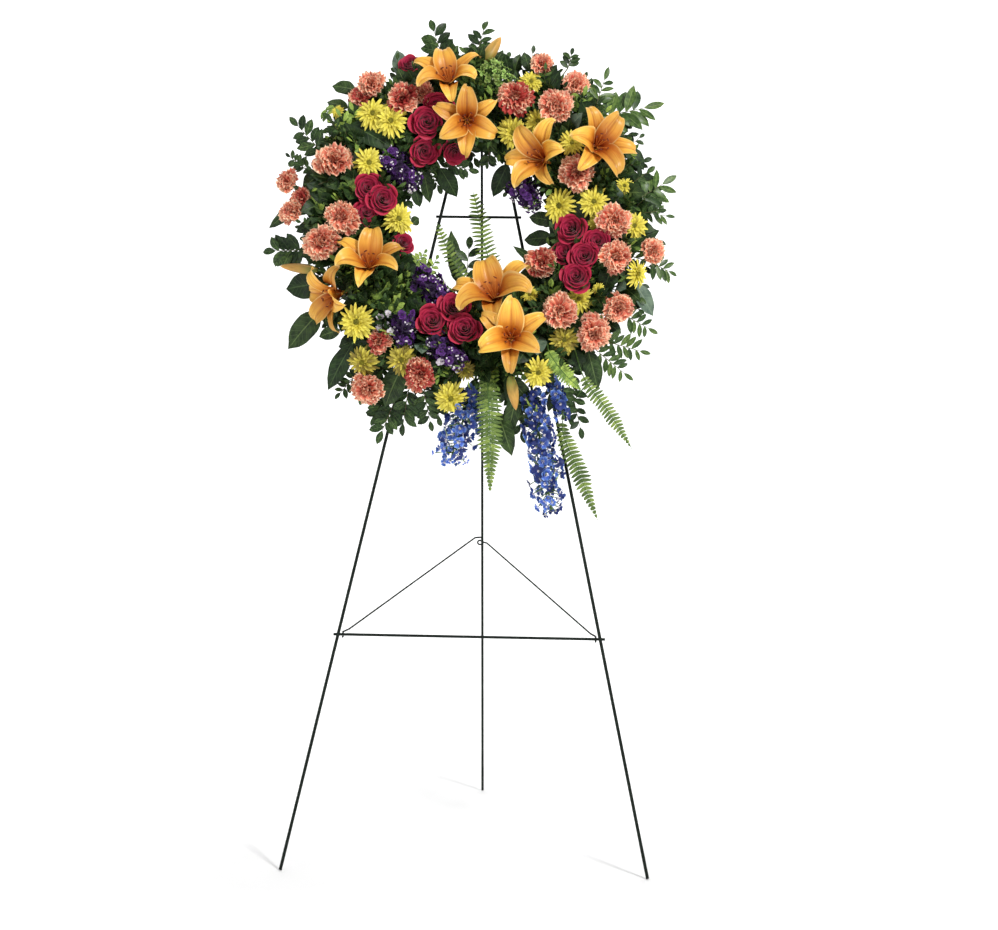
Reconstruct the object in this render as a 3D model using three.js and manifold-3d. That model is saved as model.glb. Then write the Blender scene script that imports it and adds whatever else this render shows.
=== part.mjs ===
// Standing floral wreath on a folding wire easel. Millimetres, +Z up, front towards -Y.
import * as THREE from "three";
import { mergeVertices } from "three/addons/utils/BufferGeometryUtils.js";
import Module from "manifold-3d";

const wasm = await Module();
wasm.setup();

const rad = THREE.MathUtils.degToRad;
const vec = (x, y, z) => new THREE.Vector3(x, y, z);

// Easel: the front legs lean together towards an apex, and back by LEAN
const FOOT_HALF_SPREAD = 330;
const APEX_HEIGHT = 1490;
const LEAN = rad(13.5);
const LEG_TOP = 1440;
const REAR_FOOT_Y = 600;
const LOWER_BAR_HEIGHT = 414;
const UPPER_BAR_HEIGHT = 1172;
const HINGE_HEIGHT = 1405;
const BRACE_EYE_HEIGHT = 536;
const LEG_R = 3;
const REAR_LEG_R = 2.5;
const CROSSBAR_R = 2.5;
const HINGE_R = 2;
const BRACE_R = 1.6;
const CREST_BACK = 5; // from the rear leg's centre line back to the brace's crest
const TURN_R = 4.8; // the small turn in the brace's wire
const TURN_DROP = 11; // how far its middle is below the crest
const HOOK_R = 1.5;
const BAR_OVERHANG = 9;
const GAP = 0.3; // between touching pieces

// Wreath: a ring of wet foam in a shallow tray, parallel to the front legs
const RING_HEIGHT = 1146;
const RING_R = 230;
const FOAM_HALF_WIDTH = 42;
const FOAM_BACK = 5.2;
const FOAM_TOP = 62;
const FOAM_CHAMFER = 12;
const TRAY_BACK = LEG_R + GAP;
const TRAY_WALL = 1.6;
const TRAY_RIM = 24;
const RING_SIDES = 20;
const FLORAL_HALF_WIDTH = 115;
const EDGE_DROP = 30; // how much lower the heads sit at the ring's outer and inner edge
const EDGE_LEAN = 0.6;
const FOOT_OFFSET = 24;
const FOOT_DEPTH = 26;
const FORK_HEIGHT = 10;
const STEM_R = 2.6;
const STEM_SPACE = 0.9; // round a stem, so that three-sided ones keep clear of their holes
const HOLE_EXTRA = 0.4;
const CLEARANCE = 0.45;

// The view that the flowers' places were read from, in its 998 x 930 pixel frame
const VIEW = {
  eye: vec(255.5, -3991.6, 1187.8),
  yaw: rad(-2.85),
  pitch: rad(6.4),
  roll: rad(0.587),
  focalPx: 2291,
  centrePx: [499, 465],
};

const finish = (color, roughness, metalness = 0) =>
  new THREE.MeshStandardMaterial({ color, roughness, metalness });
const ENAMEL = finish(0x1f2a24, 0.45, 0.3);
const TRAY_PLASTIC = finish(0x1d3a27, 0.5);
const WET_FOAM = finish(0x2f6b45, 0.95);
const LILY = finish(0xe2952f, 0.55);
const ROSE = finish(0xa81f4d, 0.6);
const CARNATION = finish(0xe0725a, 0.7);
const MUM = finish(0xe3d84a, 0.65);
const STOCK = finish(0x4b2a86, 0.65);
const DELPHINIUM = finish(0x4763c4, 0.6);
const FERN = finish(0x8fb455, 0.65);
const FILLER = finish(0x86b04a, 0.7);
const LEAF = finish(0x35512f, 0.5);

// Solids

function solidOf(geometry) {
  const bare = new THREE.BufferGeometry();
  bare.setAttribute("position", geometry.getAttribute("position"));
  if (geometry.index) bare.setIndex(geometry.index);
  const merged = mergeVertices(bare, 1e-4);
  const vertProperties = new Float32Array(merged.attributes.position.array);
  const triVerts = new Uint32Array(merged.index.array);
  const build = () =>
    new wasm.Manifold(new wasm.Mesh({ numProp: 3, vertProperties, triVerts }));
  const made = build();
  if (made.volume() >= 0) return made;
  for (let i = 0; i < triVerts.length; i += 3) {
    [triVerts[i + 1], triVerts[i + 2]] = [triVerts[i + 2], triVerts[i + 1]];
  }
  return build();
}

const join = (solids) => solids.reduce((all, one) => all.add(one));

// The largest body: fills hollows that fusing sealed, and drops loose scraps
function wholeOf(solid) {
  const bodies = solid.decompose();
  return bodies.reduce((best, b) => (b.volume() > best.volume() ? b : best));
}

function meshOf(name, solid, material) {
  const { numProp, vertProperties, triVerts } = solid.getMesh();
  const count = vertProperties.length / numProp;
  const position = new Float32Array(count * 3);
  for (let i = 0; i < count; i++) {
    position.set(vertProperties.subarray(i * numProp, i * numProp + 3), i * 3);
  }
  const geometry = new THREE.BufferGeometry();
  geometry.setAttribute("position", new THREE.BufferAttribute(position, 3));
  geometry.setIndex(new THREE.BufferAttribute(triVerts, 1));
  geometry.computeVertexNormals();
  const mesh = new THREE.Mesh(geometry, material);
  mesh.name = name;
  return mesh;
}

// A round or few-sided rod swept along a path
function rod(path, radius, sides, steps) {
  const section = new THREE.Shape();
  for (let i = 0; i < sides; i++) {
    const a = (i / sides) * 2 * Math.PI;
    const corner = [radius * Math.cos(a), radius * Math.sin(a)];
    if (i) section.lineTo(...corner);
    else section.moveTo(...corner);
  }
  section.closePath();
  return solidOf(
    new THREE.ExtrudeGeometry(section, {
      steps,
      bevelEnabled: false,
      extrudePath: path,
    }),
  );
}

// One closed skin over a row of rings. A ring of one point is a pole, and rings of unlike
// counts are stitched in step. Between like rings each quad is split at its shorter diagonal.
function skin(rings) {
  const position = [];
  const first = [];
  for (const ring of rings) {
    first.push(position.length / 3);
    for (const p of ring) position.push(...p);
  }
  const index = [];
  const cap = (start, count, turn) => {
    for (let i = 1; i + 1 < count; i++) {
      index.push(start, start + i + (turn ? 1 : 0), start + i + (turn ? 0 : 1));
    }
  };
  for (let k = 0; k + 1 < rings.length; k++) {
    const [low, high] = [rings[k], rings[k + 1]];
    const [a, b] = [low.length, high.length];
    const [p, q] = [first[k], first[k + 1]];
    let [i, j] = [0, 0];
    while (i < a || j < b) {
      const [x, nextX, y, nextY] = [i % a, (i + 1) % a, j % b, (j + 1) % b];
      let lowFirst = b === 1 || (a > 1 && (i + 1) / a < (j + 1) / b);
      if (a === b && i === j) {
        lowFirst = low[nextX].distanceTo(high[y]) < low[x].distanceTo(high[nextY]);
      }
      if (a === 1) lowFirst = false;
      if ((lowFirst && i < a) || j >= b) {
        if (a > 1) index.push(p + x, p + nextX, q + y);
        i++;
      } else {
        if (b > 1) index.push(p + x, q + nextY, q + y);
        j++;
      }
    }
  }
  if (rings[0].length > 1) cap(first[0], rings[0].length, true);
  if (rings.at(-1).length > 1) cap(first.at(-1), rings.at(-1).length, false);
  const geometry = new THREE.BufferGeometry();
  geometry.setAttribute("position", new THREE.Float32BufferAttribute(position, 3));
  geometry.setIndex(index);
  return geometry;
}

// Rings of a wire or stem at its points, turned with the least twist from side. They wind
// against the path, so that a head grows on at its first point.
function wireRings(points, radius, side, sides = 3) {
  let across = side.clone();
  return points.map((p, i) => {
    const before = points[Math.max(i - 1, 0)];
    const after = points[Math.min(i + 1, points.length - 1)];
    const along = after.clone().sub(before).normalize();
    across = across.clone().addScaledVector(along, -across.dot(along)).normalize();
    const other = across.clone().cross(along);
    const ring = [];
    for (let s = 0; s < sides; s++) {
      const a = (s / sides) * 2 * Math.PI;
      ring.push(
        p
          .clone()
          .addScaledVector(across, radius * Math.cos(a))
          .addScaledVector(other, radius * Math.sin(a)),
      );
    }
    return ring;
  });
}

const straightRod = (from, to, radius, sides = 8) =>
  rod(new THREE.LineCurve3(from, to), radius, sides, 1);

const smooth = (points) =>
  new THREE.CatmullRomCurve3(points, false, "centripetal");

// A ring-shaped solid: [radius, height] corners of its section, closed
function turned(corners, segments) {
  const profile = [...corners, corners[0]].map((c) => new THREE.Vector2(...c));
  return new THREE.LatheGeometry(profile, segments).rotateX(Math.PI / 2);
}

// Easel

const legPoint = (height, side) =>
  vec(
    side * FOOT_HALF_SPREAD * (1 - height / APEX_HEIGHT),
    height * Math.tan(LEAN),
    height,
  );
const FRONT = vec(0, -Math.cos(LEAN), Math.sin(LEAN)); // out of the leg plane
const behindLegs = (height, distance) =>
  legPoint(height, 0).addScaledVector(FRONT, -distance);

function frontLeg(side) {
  const below = legPoint(-20, side);
  const leg = straightRod(below, legPoint(LEG_TOP, side), LEG_R);
  return leg.trimByPlane([0, 0, 1], 0);
}

function crossbar(height, radius, overhang) {
  const centre = behindLegs(height, LEG_R + GAP + radius);
  const half = legPoint(height, 1).x + overhang;
  const end = vec(half, 0, 0);
  return straightRod(
    centre.clone().sub(end),
    centre.clone().add(end),
    radius,
  );
}

const HINGE_AXIS = behindLegs(HINGE_HEIGHT, LEG_R + GAP + HINGE_R);
const EYE_R = REAR_LEG_R + HINGE_R + 0.5; // centre line of the eye round the hinge bar
const REAR_SLOPE = Math.atan((REAR_FOOT_Y - HINGE_AXIS.y - EYE_R) / HINGE_AXIS.z);

function rearLeg() {
  const out = vec(0, Math.cos(REAR_SLOPE), Math.sin(REAR_SLOPE));
  const down = vec(0, Math.sin(REAR_SLOPE), -Math.cos(REAR_SLOPE));
  const top = HINGE_AXIS.clone().addScaledVector(out, EYE_R);
  const foot = top.clone().addScaledVector(down, HINGE_AXIS.z + 60);
  const eye = new THREE.TorusGeometry(EYE_R, REAR_LEG_R, 6, 10)
    .rotateY(Math.PI / 2)
    .translate(...HINGE_AXIS);
  return straightRod(top, foot, REAR_LEG_R)
    .trimByPlane([0, 0, 1], 0)
    .add(solidOf(eye));
}

// The rear leg's axis at a height
function rearLegPoint(height) {
  const top = HINGE_AXIS.clone().addScaledVector(
    vec(0, Math.cos(REAR_SLOPE), Math.sin(REAR_SLOPE)),
    EYE_R,
  );
  return vec(0, top.y + (top.z - height) * Math.tan(REAR_SLOPE), height);
}

// One wire: hook, arm, a crest with a small turn close behind the rear leg, arm, hook
function brace() {
  const bar = behindLegs(LOWER_BAR_HEIGHT, LEG_R + GAP + CROSSBAR_R);
  const hookR = CROSSBAR_R + BRACE_R + 0.7;
  const hookX = legPoint(LOWER_BAR_HEIGHT, 1).x - LEG_R - 5;
  const back = vec(0, Math.cos(REAR_SLOPE), Math.sin(REAR_SLOPE));
  const down = vec(0, Math.sin(REAR_SLOPE), -Math.cos(REAR_SLOPE));
  const crest = rearLegPoint(BRACE_EYE_HEIGHT).addScaledVector(back, CREST_BACK);
  const along = crest.clone().sub(bar).normalize();
  const over = vec(0, -along.z, along.y); // square to the brace, on its upper side
  const nearBar = (x, s, lift) =>
    bar
      .clone()
      .add(vec(x, 0, 0))
      .addScaledVector(along, s)
      .addScaledVector(over, lift);
  const hook = (side) =>
    [-150, -115, -80, -45, -10, 25, 60].map((a) =>
      nearBar(side * hookX, hookR * Math.cos(rad(a)), hookR * Math.sin(rad(a))),
    );
  const nearLeg = (x, behind, below) =>
    crest
      .clone()
      .add(vec(x, 0, 0))
      .addScaledVector(back, behind)
      .addScaledVector(down, below);
  const layer = 2 * BRACE_R + 0.5;
  const turn = [];
  for (let a = 0; a <= 315; a += 45) {
    const x = -TURN_R + TURN_R * Math.cos(rad(a));
    const behind = layer * Math.min(1, Math.max(0, (270 - a) / 180));
    turn.push(nearLeg(x, behind, TURN_DROP + TURN_R * Math.sin(rad(a))));
  }
  const points = [
    ...hook(-1),
    nearBar(-hookX + 10, 16, 3),
    nearLeg(-15, 0, 0.8),
    nearLeg(-10, 0.5, 0),
    nearLeg(-4, 0.6 * layer, 0.2),
    nearLeg(0.4, layer, 3),
    ...turn,
    nearLeg(3, 0, TURN_DROP - 1),
    nearLeg(9, 0, TURN_DROP + 0.5),
    nearBar(hookX - 10, 16, 3),
    ...hook(1).reverse(),
  ];
  return solidOf(skin(wireRings(points, BRACE_R, vec(1, 0, 0), 5)));
}

// Wreath frame: X right, Y up along the leg plane, Z out to the front, from the ring's centre

const wreath = new THREE.Group();
wreath.rotation.x = Math.PI / 2 - LEAN;
wreath.position.copy(legPoint(RING_HEIGHT, 0));
wreath.updateMatrix();

function foamTray() {
  const [inner, outer] = [RING_R - FOAM_HALF_WIDTH, RING_R + FOAM_HALF_WIDTH];
  const inside = GAP;
  const outside = GAP + TRAY_WALL;
  const floor = TRAY_BACK + TRAY_WALL;
  return solidOf(
    turned(
      [
        [inner - outside, TRAY_BACK],
        [outer + outside, TRAY_BACK],
        [outer + outside, TRAY_RIM],
        [outer + inside, TRAY_RIM],
        [outer + inside, floor],
        [inner - inside, floor],
        [inner - inside, TRAY_RIM],
        [inner - outside, TRAY_RIM],
      ],
      RING_SIDES,
    ),
  );
}

function foamRing() {
  const [inner, outer] = [RING_R - FOAM_HALF_WIDTH, RING_R + FOAM_HALF_WIDTH];
  return solidOf(
    turned(
      [
        [inner, FOAM_BACK],
        [outer, FOAM_BACK],
        [outer, FOAM_TOP - FOAM_CHAMFER],
        [outer - FOAM_CHAMFER, FOAM_TOP],
        [inner + FOAM_CHAMFER, FOAM_TOP],
        [inner, FOAM_TOP - FOAM_CHAMFER],
      ],
      RING_SIDES,
    ),
  );
}

// Two prongs that run under the ring's inner top edge and turn up in front of the foam
function hangingHook(swell = 0) {
  const under = (RING_R - FOAM_HALF_WIDTH - GAP - TRAY_WALL) * Math.cos(Math.PI / RING_SIDES);
  const y = under - HOOK_R - GAP;
  const back = -(LEG_R + GAP + HOOK_R);
  const reach = FOAM_TOP + HOOK_R + 3;
  const worldY = wreath.position.z + y * Math.cos(LEAN);
  const half = legPoint(worldY, 1).x + 4;
  const radius = HOOK_R + swell;
  const parts = [straightRod(vec(-half, y, back), vec(half, y, back), radius, 6)];
  for (const x of [-14, 14]) {
    const prong = [vec(x, y, back), vec(x, y, reach - 4), vec(x, y + 3, reach), vec(x, y + 16, reach)];
    parts.push(rod(smooth(prong), radius, 5, 6));
  }
  return join(parts);
}

// Places: a pixel of the view and a height above the foam give a point in the wreath frame

const ahead = vec(
  Math.sin(VIEW.yaw) * Math.cos(VIEW.pitch),
  Math.cos(VIEW.yaw) * Math.cos(VIEW.pitch),
  -Math.sin(VIEW.pitch),
);
const level = vec(Math.cos(VIEW.yaw), -Math.sin(VIEW.yaw), 0);
const upward = level.clone().cross(ahead);
const viewRight = level
  .clone()
  .multiplyScalar(Math.cos(VIEW.roll))
  .addScaledVector(upward, Math.sin(VIEW.roll));
const viewUp = upward
  .clone()
  .multiplyScalar(Math.cos(VIEW.roll))
  .addScaledVector(level, -Math.sin(VIEW.roll));
const toWreath = wreath.matrix.clone().invert();
const eyeInWreath = VIEW.eye.clone().applyMatrix4(toWreath);

function onPlane([px, py], z) {
  const ray = ahead
    .clone()
    .addScaledVector(viewRight, (px - VIEW.centrePx[0]) / VIEW.focalPx)
    .addScaledVector(viewUp, (VIEW.centrePx[1] - py) / VIEW.focalPx)
    .transformDirection(toWreath);
  return eyeInWreath.clone().addScaledVector(ray, (z - eyeInWreath.z) / ray.z);
}

const offCentre = (p) => (Math.hypot(p.x, p.y) - RING_R) / FLORAL_HALF_WIDTH;

function place(pixel, lift) {
  let p = onPlane(pixel, FOAM_TOP + lift);
  for (let i = 0; i < 3; i++) {
    p = onPlane(pixel, FOAM_TOP + lift - EDGE_DROP * Math.min(offCentre(p) ** 2, 1.4));
  }
  return p;
}

// Heads at the ring's edges look outwards, and look adds a tilt of its own
function facing(p, look = [0, 0]) {
  const out = vec(p.x, p.y, 0).normalize();
  return vec(look[0], look[1], 1)
    .addScaledVector(out, EDGE_LEAN * THREE.MathUtils.clamp(offCentre(p), -1.2, 1.3))
    .normalize();
}

function pose(p, axis, spin = 0) {
  const side = vec(0, 1, 0).cross(axis).normalize();
  const basis = new THREE.Matrix4().makeBasis(side, axis.clone().cross(side), axis);
  return basis.multiply(new THREE.Matrix4().makeRotationZ(spin)).setPosition(p);
}

// Leaf blades: a thin three-cornered section, flat below and ridged at the rib, carried
// along a path. Its edges can run ahead by sweep, and droop by fall.
function blade(stations, tip) {
  const rings = stations.map((s) => {
    const edge = s.up.clone().multiplyScalar(-s.fall).addScaledVector(s.ahead, s.sweep);
    return [
      s.middle.clone().addScaledVector(s.side, -s.half).add(edge),
      s.middle.clone().addScaledVector(s.up, s.thick),
      s.middle.clone().addScaledVector(s.side, s.half).add(edge),
    ];
  });
  const position = rings.flat().flatMap((p) => [...p]);
  position.push(...tip);
  const index = [0, 2, 1];
  const last = rings.length * 3;
  for (let k = 0; k < last; k += 3) {
    for (let a = 0; a < 3; a++) {
      const b = (a + 1) % 3;
      const [p, q, r, s] = [k + a, k + b, k + 3 + b, k + 3 + a];
      if (k + 3 === last) index.push(p, q, last);
      else if (a === 1) index.push(p, q, s, q, r, s);
      else index.push(p, q, r, p, r, s);
    }
  }
  const geometry = new THREE.BufferGeometry();
  geometry.setAttribute("position", new THREE.Float32BufferAttribute(position, 3));
  geometry.setIndex(index);
  return geometry;
}

// A leaf or frond along a curve: outline gives [place along it, half width, sweep]
function frond(points, outline, up, thick = 1.3) {
  const path = smooth(points);
  const stations = outline.map(([t, half, sweep = 0]) => {
    const heading = path.getTangentAt(t);
    const side = heading.clone().cross(up).normalize();
    return {
      middle: path.getPointAt(t),
      side,
      up: side.clone().cross(heading),
      ahead: heading,
      half,
      fall: half > 3 ? 0.1 * half : 0.7,
      thick: half > 3 ? thick : thick * 0.9,
      sweep,
    };
  });
  return blade(stations, path.getPointAt(1));
}

// A rim of petals: [radius, height, notch radius, notch height]. Rims follow each other
// upwards, and each has its notches over the last one's tips.
const rimPoints = (rims, sides, at) =>
  rims.map(([r, z, notchR, notchZ], k) => {
    const ring = [];
    for (let j = 0; j < sides; j++) {
      const notch = (j + k) % 2;
      const a = (j / sides) * 2 * Math.PI;
      const radius = notch ? notchR : r;
      ring.push(
        vec(radius * Math.cos(a), radius * Math.sin(a), notch ? notchZ : z).applyMatrix4(at),
      );
    }
    return ring;
  });

// The space that a head keeps for itself: a drum with sloping ends
function keepOut(radius, under, over, sides = 6) {
  const r = (radius + CLEARANCE) / Math.cos(Math.PI / sides);
  const profile = [
    [0, under - CLEARANCE],
    [r, Math.min(under * 0.4, -2.5)],
    [r, over * 0.55],
    [r * 0.55, over + CLEARANCE],
    [0, over + CLEARANCE],
  ].map((c) => new THREE.Vector2(...c));
  return new THREE.LatheGeometry(profile, sides).rotateX(Math.PI / 2);
}

// What grows in the foam. Each part has the space that it keeps from later parts.

const growth = [];
const stemHoles = [];

function meet(a, b) {
  const [p, q] = [a.boundingBox(), b.boundingBox()];
  return [0, 1, 2].every((i) => p.min[i] < q.max[i] && q.min[i] < p.max[i]);
}

const clearOf = (solid, keeps) =>
  keeps.reduce((left, keep) => (meet(left, keep) ? left.subtract(keep) : left), solid);

function grow(name, material, parts, keeps) {
  const solid = wholeOf(clearOf(join(parts), growth.flatMap((g) => g.keeps)));
  growth.push({ name, material, solid, keeps });
}

// Where a stem goes into the foam, under or beside the place p, and where it leaves it
function footBelow(p) {
  const angle = Math.atan2(p.y, p.x);
  const r = RING_R + (Math.hypot(p.x, p.y) > RING_R ? FOOT_OFFSET : -FOOT_OFFSET);
  const at = (z) => vec(r * Math.cos(angle), r * Math.sin(angle), z);
  return { low: at(FOAM_TOP - FOOT_DEPTH), knee: at(FOAM_TOP + FORK_HEIGHT) };
}

// Puts each head on its stem. The first stem goes down into the foam, and the others leave
// it just above the foam, run low over it, and rise to their heads.
function stemmed(heads, parts, keeps, raise = 0) {
  const middle = heads
    .reduce((sum, h) => sum.add(h.neck), vec(0, 0, 0))
    .divideScalar(heads.length);
  const { low, knee } = footBelow(middle);
  knee.z += raise;
  heads.forEach(({ neck, axis, side, rings, skinOver }, i) => {
    const under = neck.clone().addScaledVector(axis, -16);
    under.lerp(knee, 0.2);
    under.z = Math.min(under.z, knee.z + 8);
    const points = i ? [neck, under, knee.clone().setZ(knee.z - 4)] : [neck, under, knee, low];
    const down = wireRings(points, i ? STEM_R * 0.8 : STEM_R, side);
    const whole = skinOver ? skinOver(down) : skin([...down.reverse(), ...rings]);
    parts.push(solidOf(whole));
    if (!i) points[3] = low.clone().setZ(low.z - HOLE_EXTRA);
    keeps.push(solidOf(skin(wireRings(points, STEM_R + STEM_SPACE, side))));
    if (!i) stemHoles.push(keeps.at(-1));
  });
}

const HEADS = {
  carnation: {
    material: CARNATION,
    under: -0.72,
    over: 0.55,
    lift: 60,
    sides: () => 12,
    rims: [
      [1, -0.1, 0.78, -0.25],
      [0.86, 0.28, 0.5, 0.05],
      [0.6, 0.52, 0.3, 0.25],
    ],
    middle: 0.42,
  },
  rose: {
    material: ROSE,
    under: -0.8,
    over: 0.5,
    lift: 62,
    sides: () => 8,
    rims: [
      [1, 0.15, 0.88, 0],
      [0.7, 0.05, 0.7, 0.05],
      [0.58, 0.45, 0.48, 0.36],
      [0.36, 0.2, 0.32, 0.2],
    ],
    middle: 0.42,
  },
  mum: {
    material: MUM,
    under: -0.3,
    over: 0.22,
    lift: 52,
    sides: (r) => (r > 27 ? 14 : 10),
    rims: [
      [1, 0, 0.5, -0.06],
      [0.68, 0.2, 0.34, 0.1],
    ],
    middle: 0.2,
    raise: 9,
  },
};

// Heads of a spray: [pixel x, pixel y, radius, extra height, own tilt x, y]
function spray(name, kind, heads) {
  const { material, under, over, lift, sides, rims, middle } = HEADS[kind];
  const parts = [];
  const keeps = [];
  const stalked = heads.map(([px, py, r, extra = 0, lookX = 0, lookY = 0]) => {
    const p = place([px, py], lift + extra);
    const axis = facing(p, [lookX, lookY]);
    const at = pose(p, axis, px);
    const sized = rims.map((rim) => rim.map((v) => v * r));
    keeps.push(solidOf(keepOut(r, under * r, over * r).applyMatrix4(at)));
    return {
      neck: vec(0, 0, under * r).applyMatrix4(at),
      axis,
      side: vec(1, 0, 0).transformDirection(at),
      rings: [...rimPoints(sized, sides(r), at), [vec(0, 0, middle * r).applyMatrix4(at)]],
    };
  });
  stemmed(stalked, parts, keeps, HEADS[kind].raise);
  grow(name, material, parts, keeps);
}

// Lilies: [pixel x, y of the throat, petal length, turn, own tilt x, y, extra height]
const LILY_LIFT = 62;
const PETAL_STATIONS = 3;

// Stations of a petal that leaves a bloom's axis at angle from and ends at angle to
function petalPath({ length, width, from, to }) {
  const stations = [];
  let [r, z] = [5, 1];
  for (let i = 0; i <= PETAL_STATIONS; i++) {
    const t = i / (PETAL_STATIONS + 1);
    const a = from + (to - from) * t;
    stations.push({ r, z, a, half: (width / 2) * Math.sin(Math.PI * t ** 0.85) ** 0.8 });
    const mid = a + (to - from) / (PETAL_STATIONS + 1) / 2;
    r += (length / (PETAL_STATIONS + 1)) * Math.sin(mid);
    z += (length / (PETAL_STATIONS + 1)) * Math.cos(mid);
  }
  return { stations: stations.slice(1), tip: { r, z } };
}

const lilyPetal = (length, inner) => ({
  length,
  width: (inner ? 0.5 : 0.38) * length,
  from: rad(inner ? 18 : 26),
  to: rad(inner ? 98 : 108),
});

// A bloom whose six petals are folded out of one skin; neck is the stem's top ring
function lilySkin(length, turn, at, stem) {
  const position = [];
  const index = [];
  const add = (p) => position.push(...p) / 3 - 1;
  const around = (r, z, a) => add(vec(r * Math.cos(a), r * Math.sin(a), z).applyMatrix4(at));
  const petalAngle = (j) => rad(turn + 60 * j);
  const gaps = [];
  const outer = [];
  const inner = [];
  for (let j = 0; j < 6; j++) {
    outer.push(around(6.4, -1, petalAngle(j)));
    inner.push(around(4.2, 2.5, petalAngle(j)));
    gaps.push(around(5.8, 2, petalAngle(j + 0.5)));
  }
  const throat = around(0, -3, 0);
  for (let j = 0; j < 6; j++) {
    const before = gaps[(j + 5) % 6];
    index.push(throat, before, inner[j], throat, inner[j], gaps[j]);
    const { stations, tip } = petalPath(lilyPetal(length, j % 2 === 0));
    const a = petalAngle(j);
    let [left, top, right, under] = [before, inner[j], gaps[j], outer[j]];
    for (const s of stations) {
      const up = [-Math.cos(s.a), Math.sin(s.a)];
      const point = (across, lift) => {
        const r = s.r + up[0] * lift;
        const p = vec(
          r * Math.cos(a) - across * Math.sin(a),
          r * Math.sin(a) + across * Math.cos(a),
          s.z + up[1] * lift,
        );
        return add(p.applyMatrix4(at));
      };
      const cup = 0.25 * s.half;
      const next = [point(-s.half, cup), point(0, 0.9), point(s.half, cup), point(0, -0.9)];
      const [l, t, r, u] = next;
      index.push(left, l, t, left, t, top, top, t, r, top, r, right);
      index.push(left, u, l, left, under, u, under, right, r, under, r, u);
      [left, top, right, under] = next;
    }
    const end = add(
      vec(tip.r * Math.cos(a), tip.r * Math.sin(a), tip.z).applyMatrix4(at),
    );
    index.push(left, end, top, top, end, right, left, under, end, under, right, end);
  }
  // The outside of the base runs down into the stem
  const base = [];
  for (let j = 0; j < 6; j++) base.push(outer[j], gaps[j]);
  const rings = stem.map((ring) => ring.map((p) => add(p)));
  const [top] = rings;
  for (let i = 0; i < 12; i++) {
    const [a, b] = [base[i], base[(i + 1) % 12]];
    const k = Math.floor((i * 3) / 12);
    index.push(b, a, top[k]);
    if ((i + 1) % 4 === 0) index.push(b, top[k], top[(k + 1) % 3]);
  }
  for (let k = 0; k + 1 < rings.length; k++) {
    for (let s = 0; s < 3; s++) {
      const n = (s + 1) % 3;
      index.push(rings[k][n], rings[k][s], rings[k + 1][s]);
      index.push(rings[k][n], rings[k + 1][s], rings[k + 1][n]);
    }
  }
  const [p, q, r] = rings.at(-1);
  index.push(p, r, q);
  const geometry = new THREE.BufferGeometry();
  geometry.setAttribute("position", new THREE.Float32BufferAttribute(position, 3));
  geometry.setIndex(index);
  return geometry;
}

// The space round a petal, as a blade
function petalKeep(length, inner, spin, at) {
  const { stations, tip } = petalPath(lilyPetal(length + 1, inner));
  const rings = stations.map(({ r, z, a, half }) => {
    const up = vec(-Math.cos(a), 0, Math.sin(a));
    const corner = (across, lift) => vec(r, across, z).addScaledVector(up, lift);
    const wide = half + CLEARANCE + 0.4;
    const cup = 0.25 * half;
    return [
      corner(-wide, cup),
      corner(0, 0.9 + CLEARANCE),
      corner(wide, cup),
      corner(0, -0.9 - CLEARANCE),
    ];
  });
  const base = [[4, -2.4], [4, 2.4], [8, 0]].map(([r, y]) => vec(r, y, r === 8 ? -2 : 3));
  const shape = skin([base, ...rings, [vec(tip.r, 0, tip.z)]]);
  return solidOf(shape.applyMatrix4(new THREE.Matrix4().makeRotationZ(spin)).applyMatrix4(at));
}

function lilyStem(name, blooms, buds) {
  const parts = [];
  const keeps = [];
  const heads = blooms.map(([px, py, length, turn, lookX, lookY, extra = 0]) => {
    const p = place([px, py], LILY_LIFT + extra);
    const axis = facing(p, [lookX, lookY]);
    const at = pose(p, axis);
    for (let j = 0; j < 6; j++) {
      keeps.push(petalKeep(length, j % 2 === 0, rad(turn + 60 * j), at));
    }
    const side = vec(1, 0, 0)
      .applyAxisAngle(vec(0, 0, 1), rad(turn))
      .transformDirection(at);
    const neck = vec(0, 0, -14).applyMatrix4(at);
    return { neck, axis, side, skinOver: (stem) => lilySkin(length, turn, at, stem) };
  });
  for (const { base, tip, lift, radius } of buds) {
    const from = place(base, lift[0]);
    const along = place(tip, lift[1]).sub(from);
    const length = along.length();
    along.normalize();
    const at = pose(from, along);
    const rims = [
      [0.75 * radius, 0.22 * length, 0.75 * radius, 0.22 * length],
      [radius, 0.6 * length, 0.82 * radius, 0.6 * length],
    ];
    const rings = [...rimPoints(rims, 6, at), [vec(0, 0, length).applyMatrix4(at)]];
    heads.push({ neck: from, axis: along, side: vec(1, 0, 0).transformDirection(at), rings });
    keeps.push(solidOf(keepOut(radius, -1, length).applyMatrix4(at)));
  }
  stemmed(heads, parts, keeps);
  grow(name, LILY, parts, keeps);
}

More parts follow.
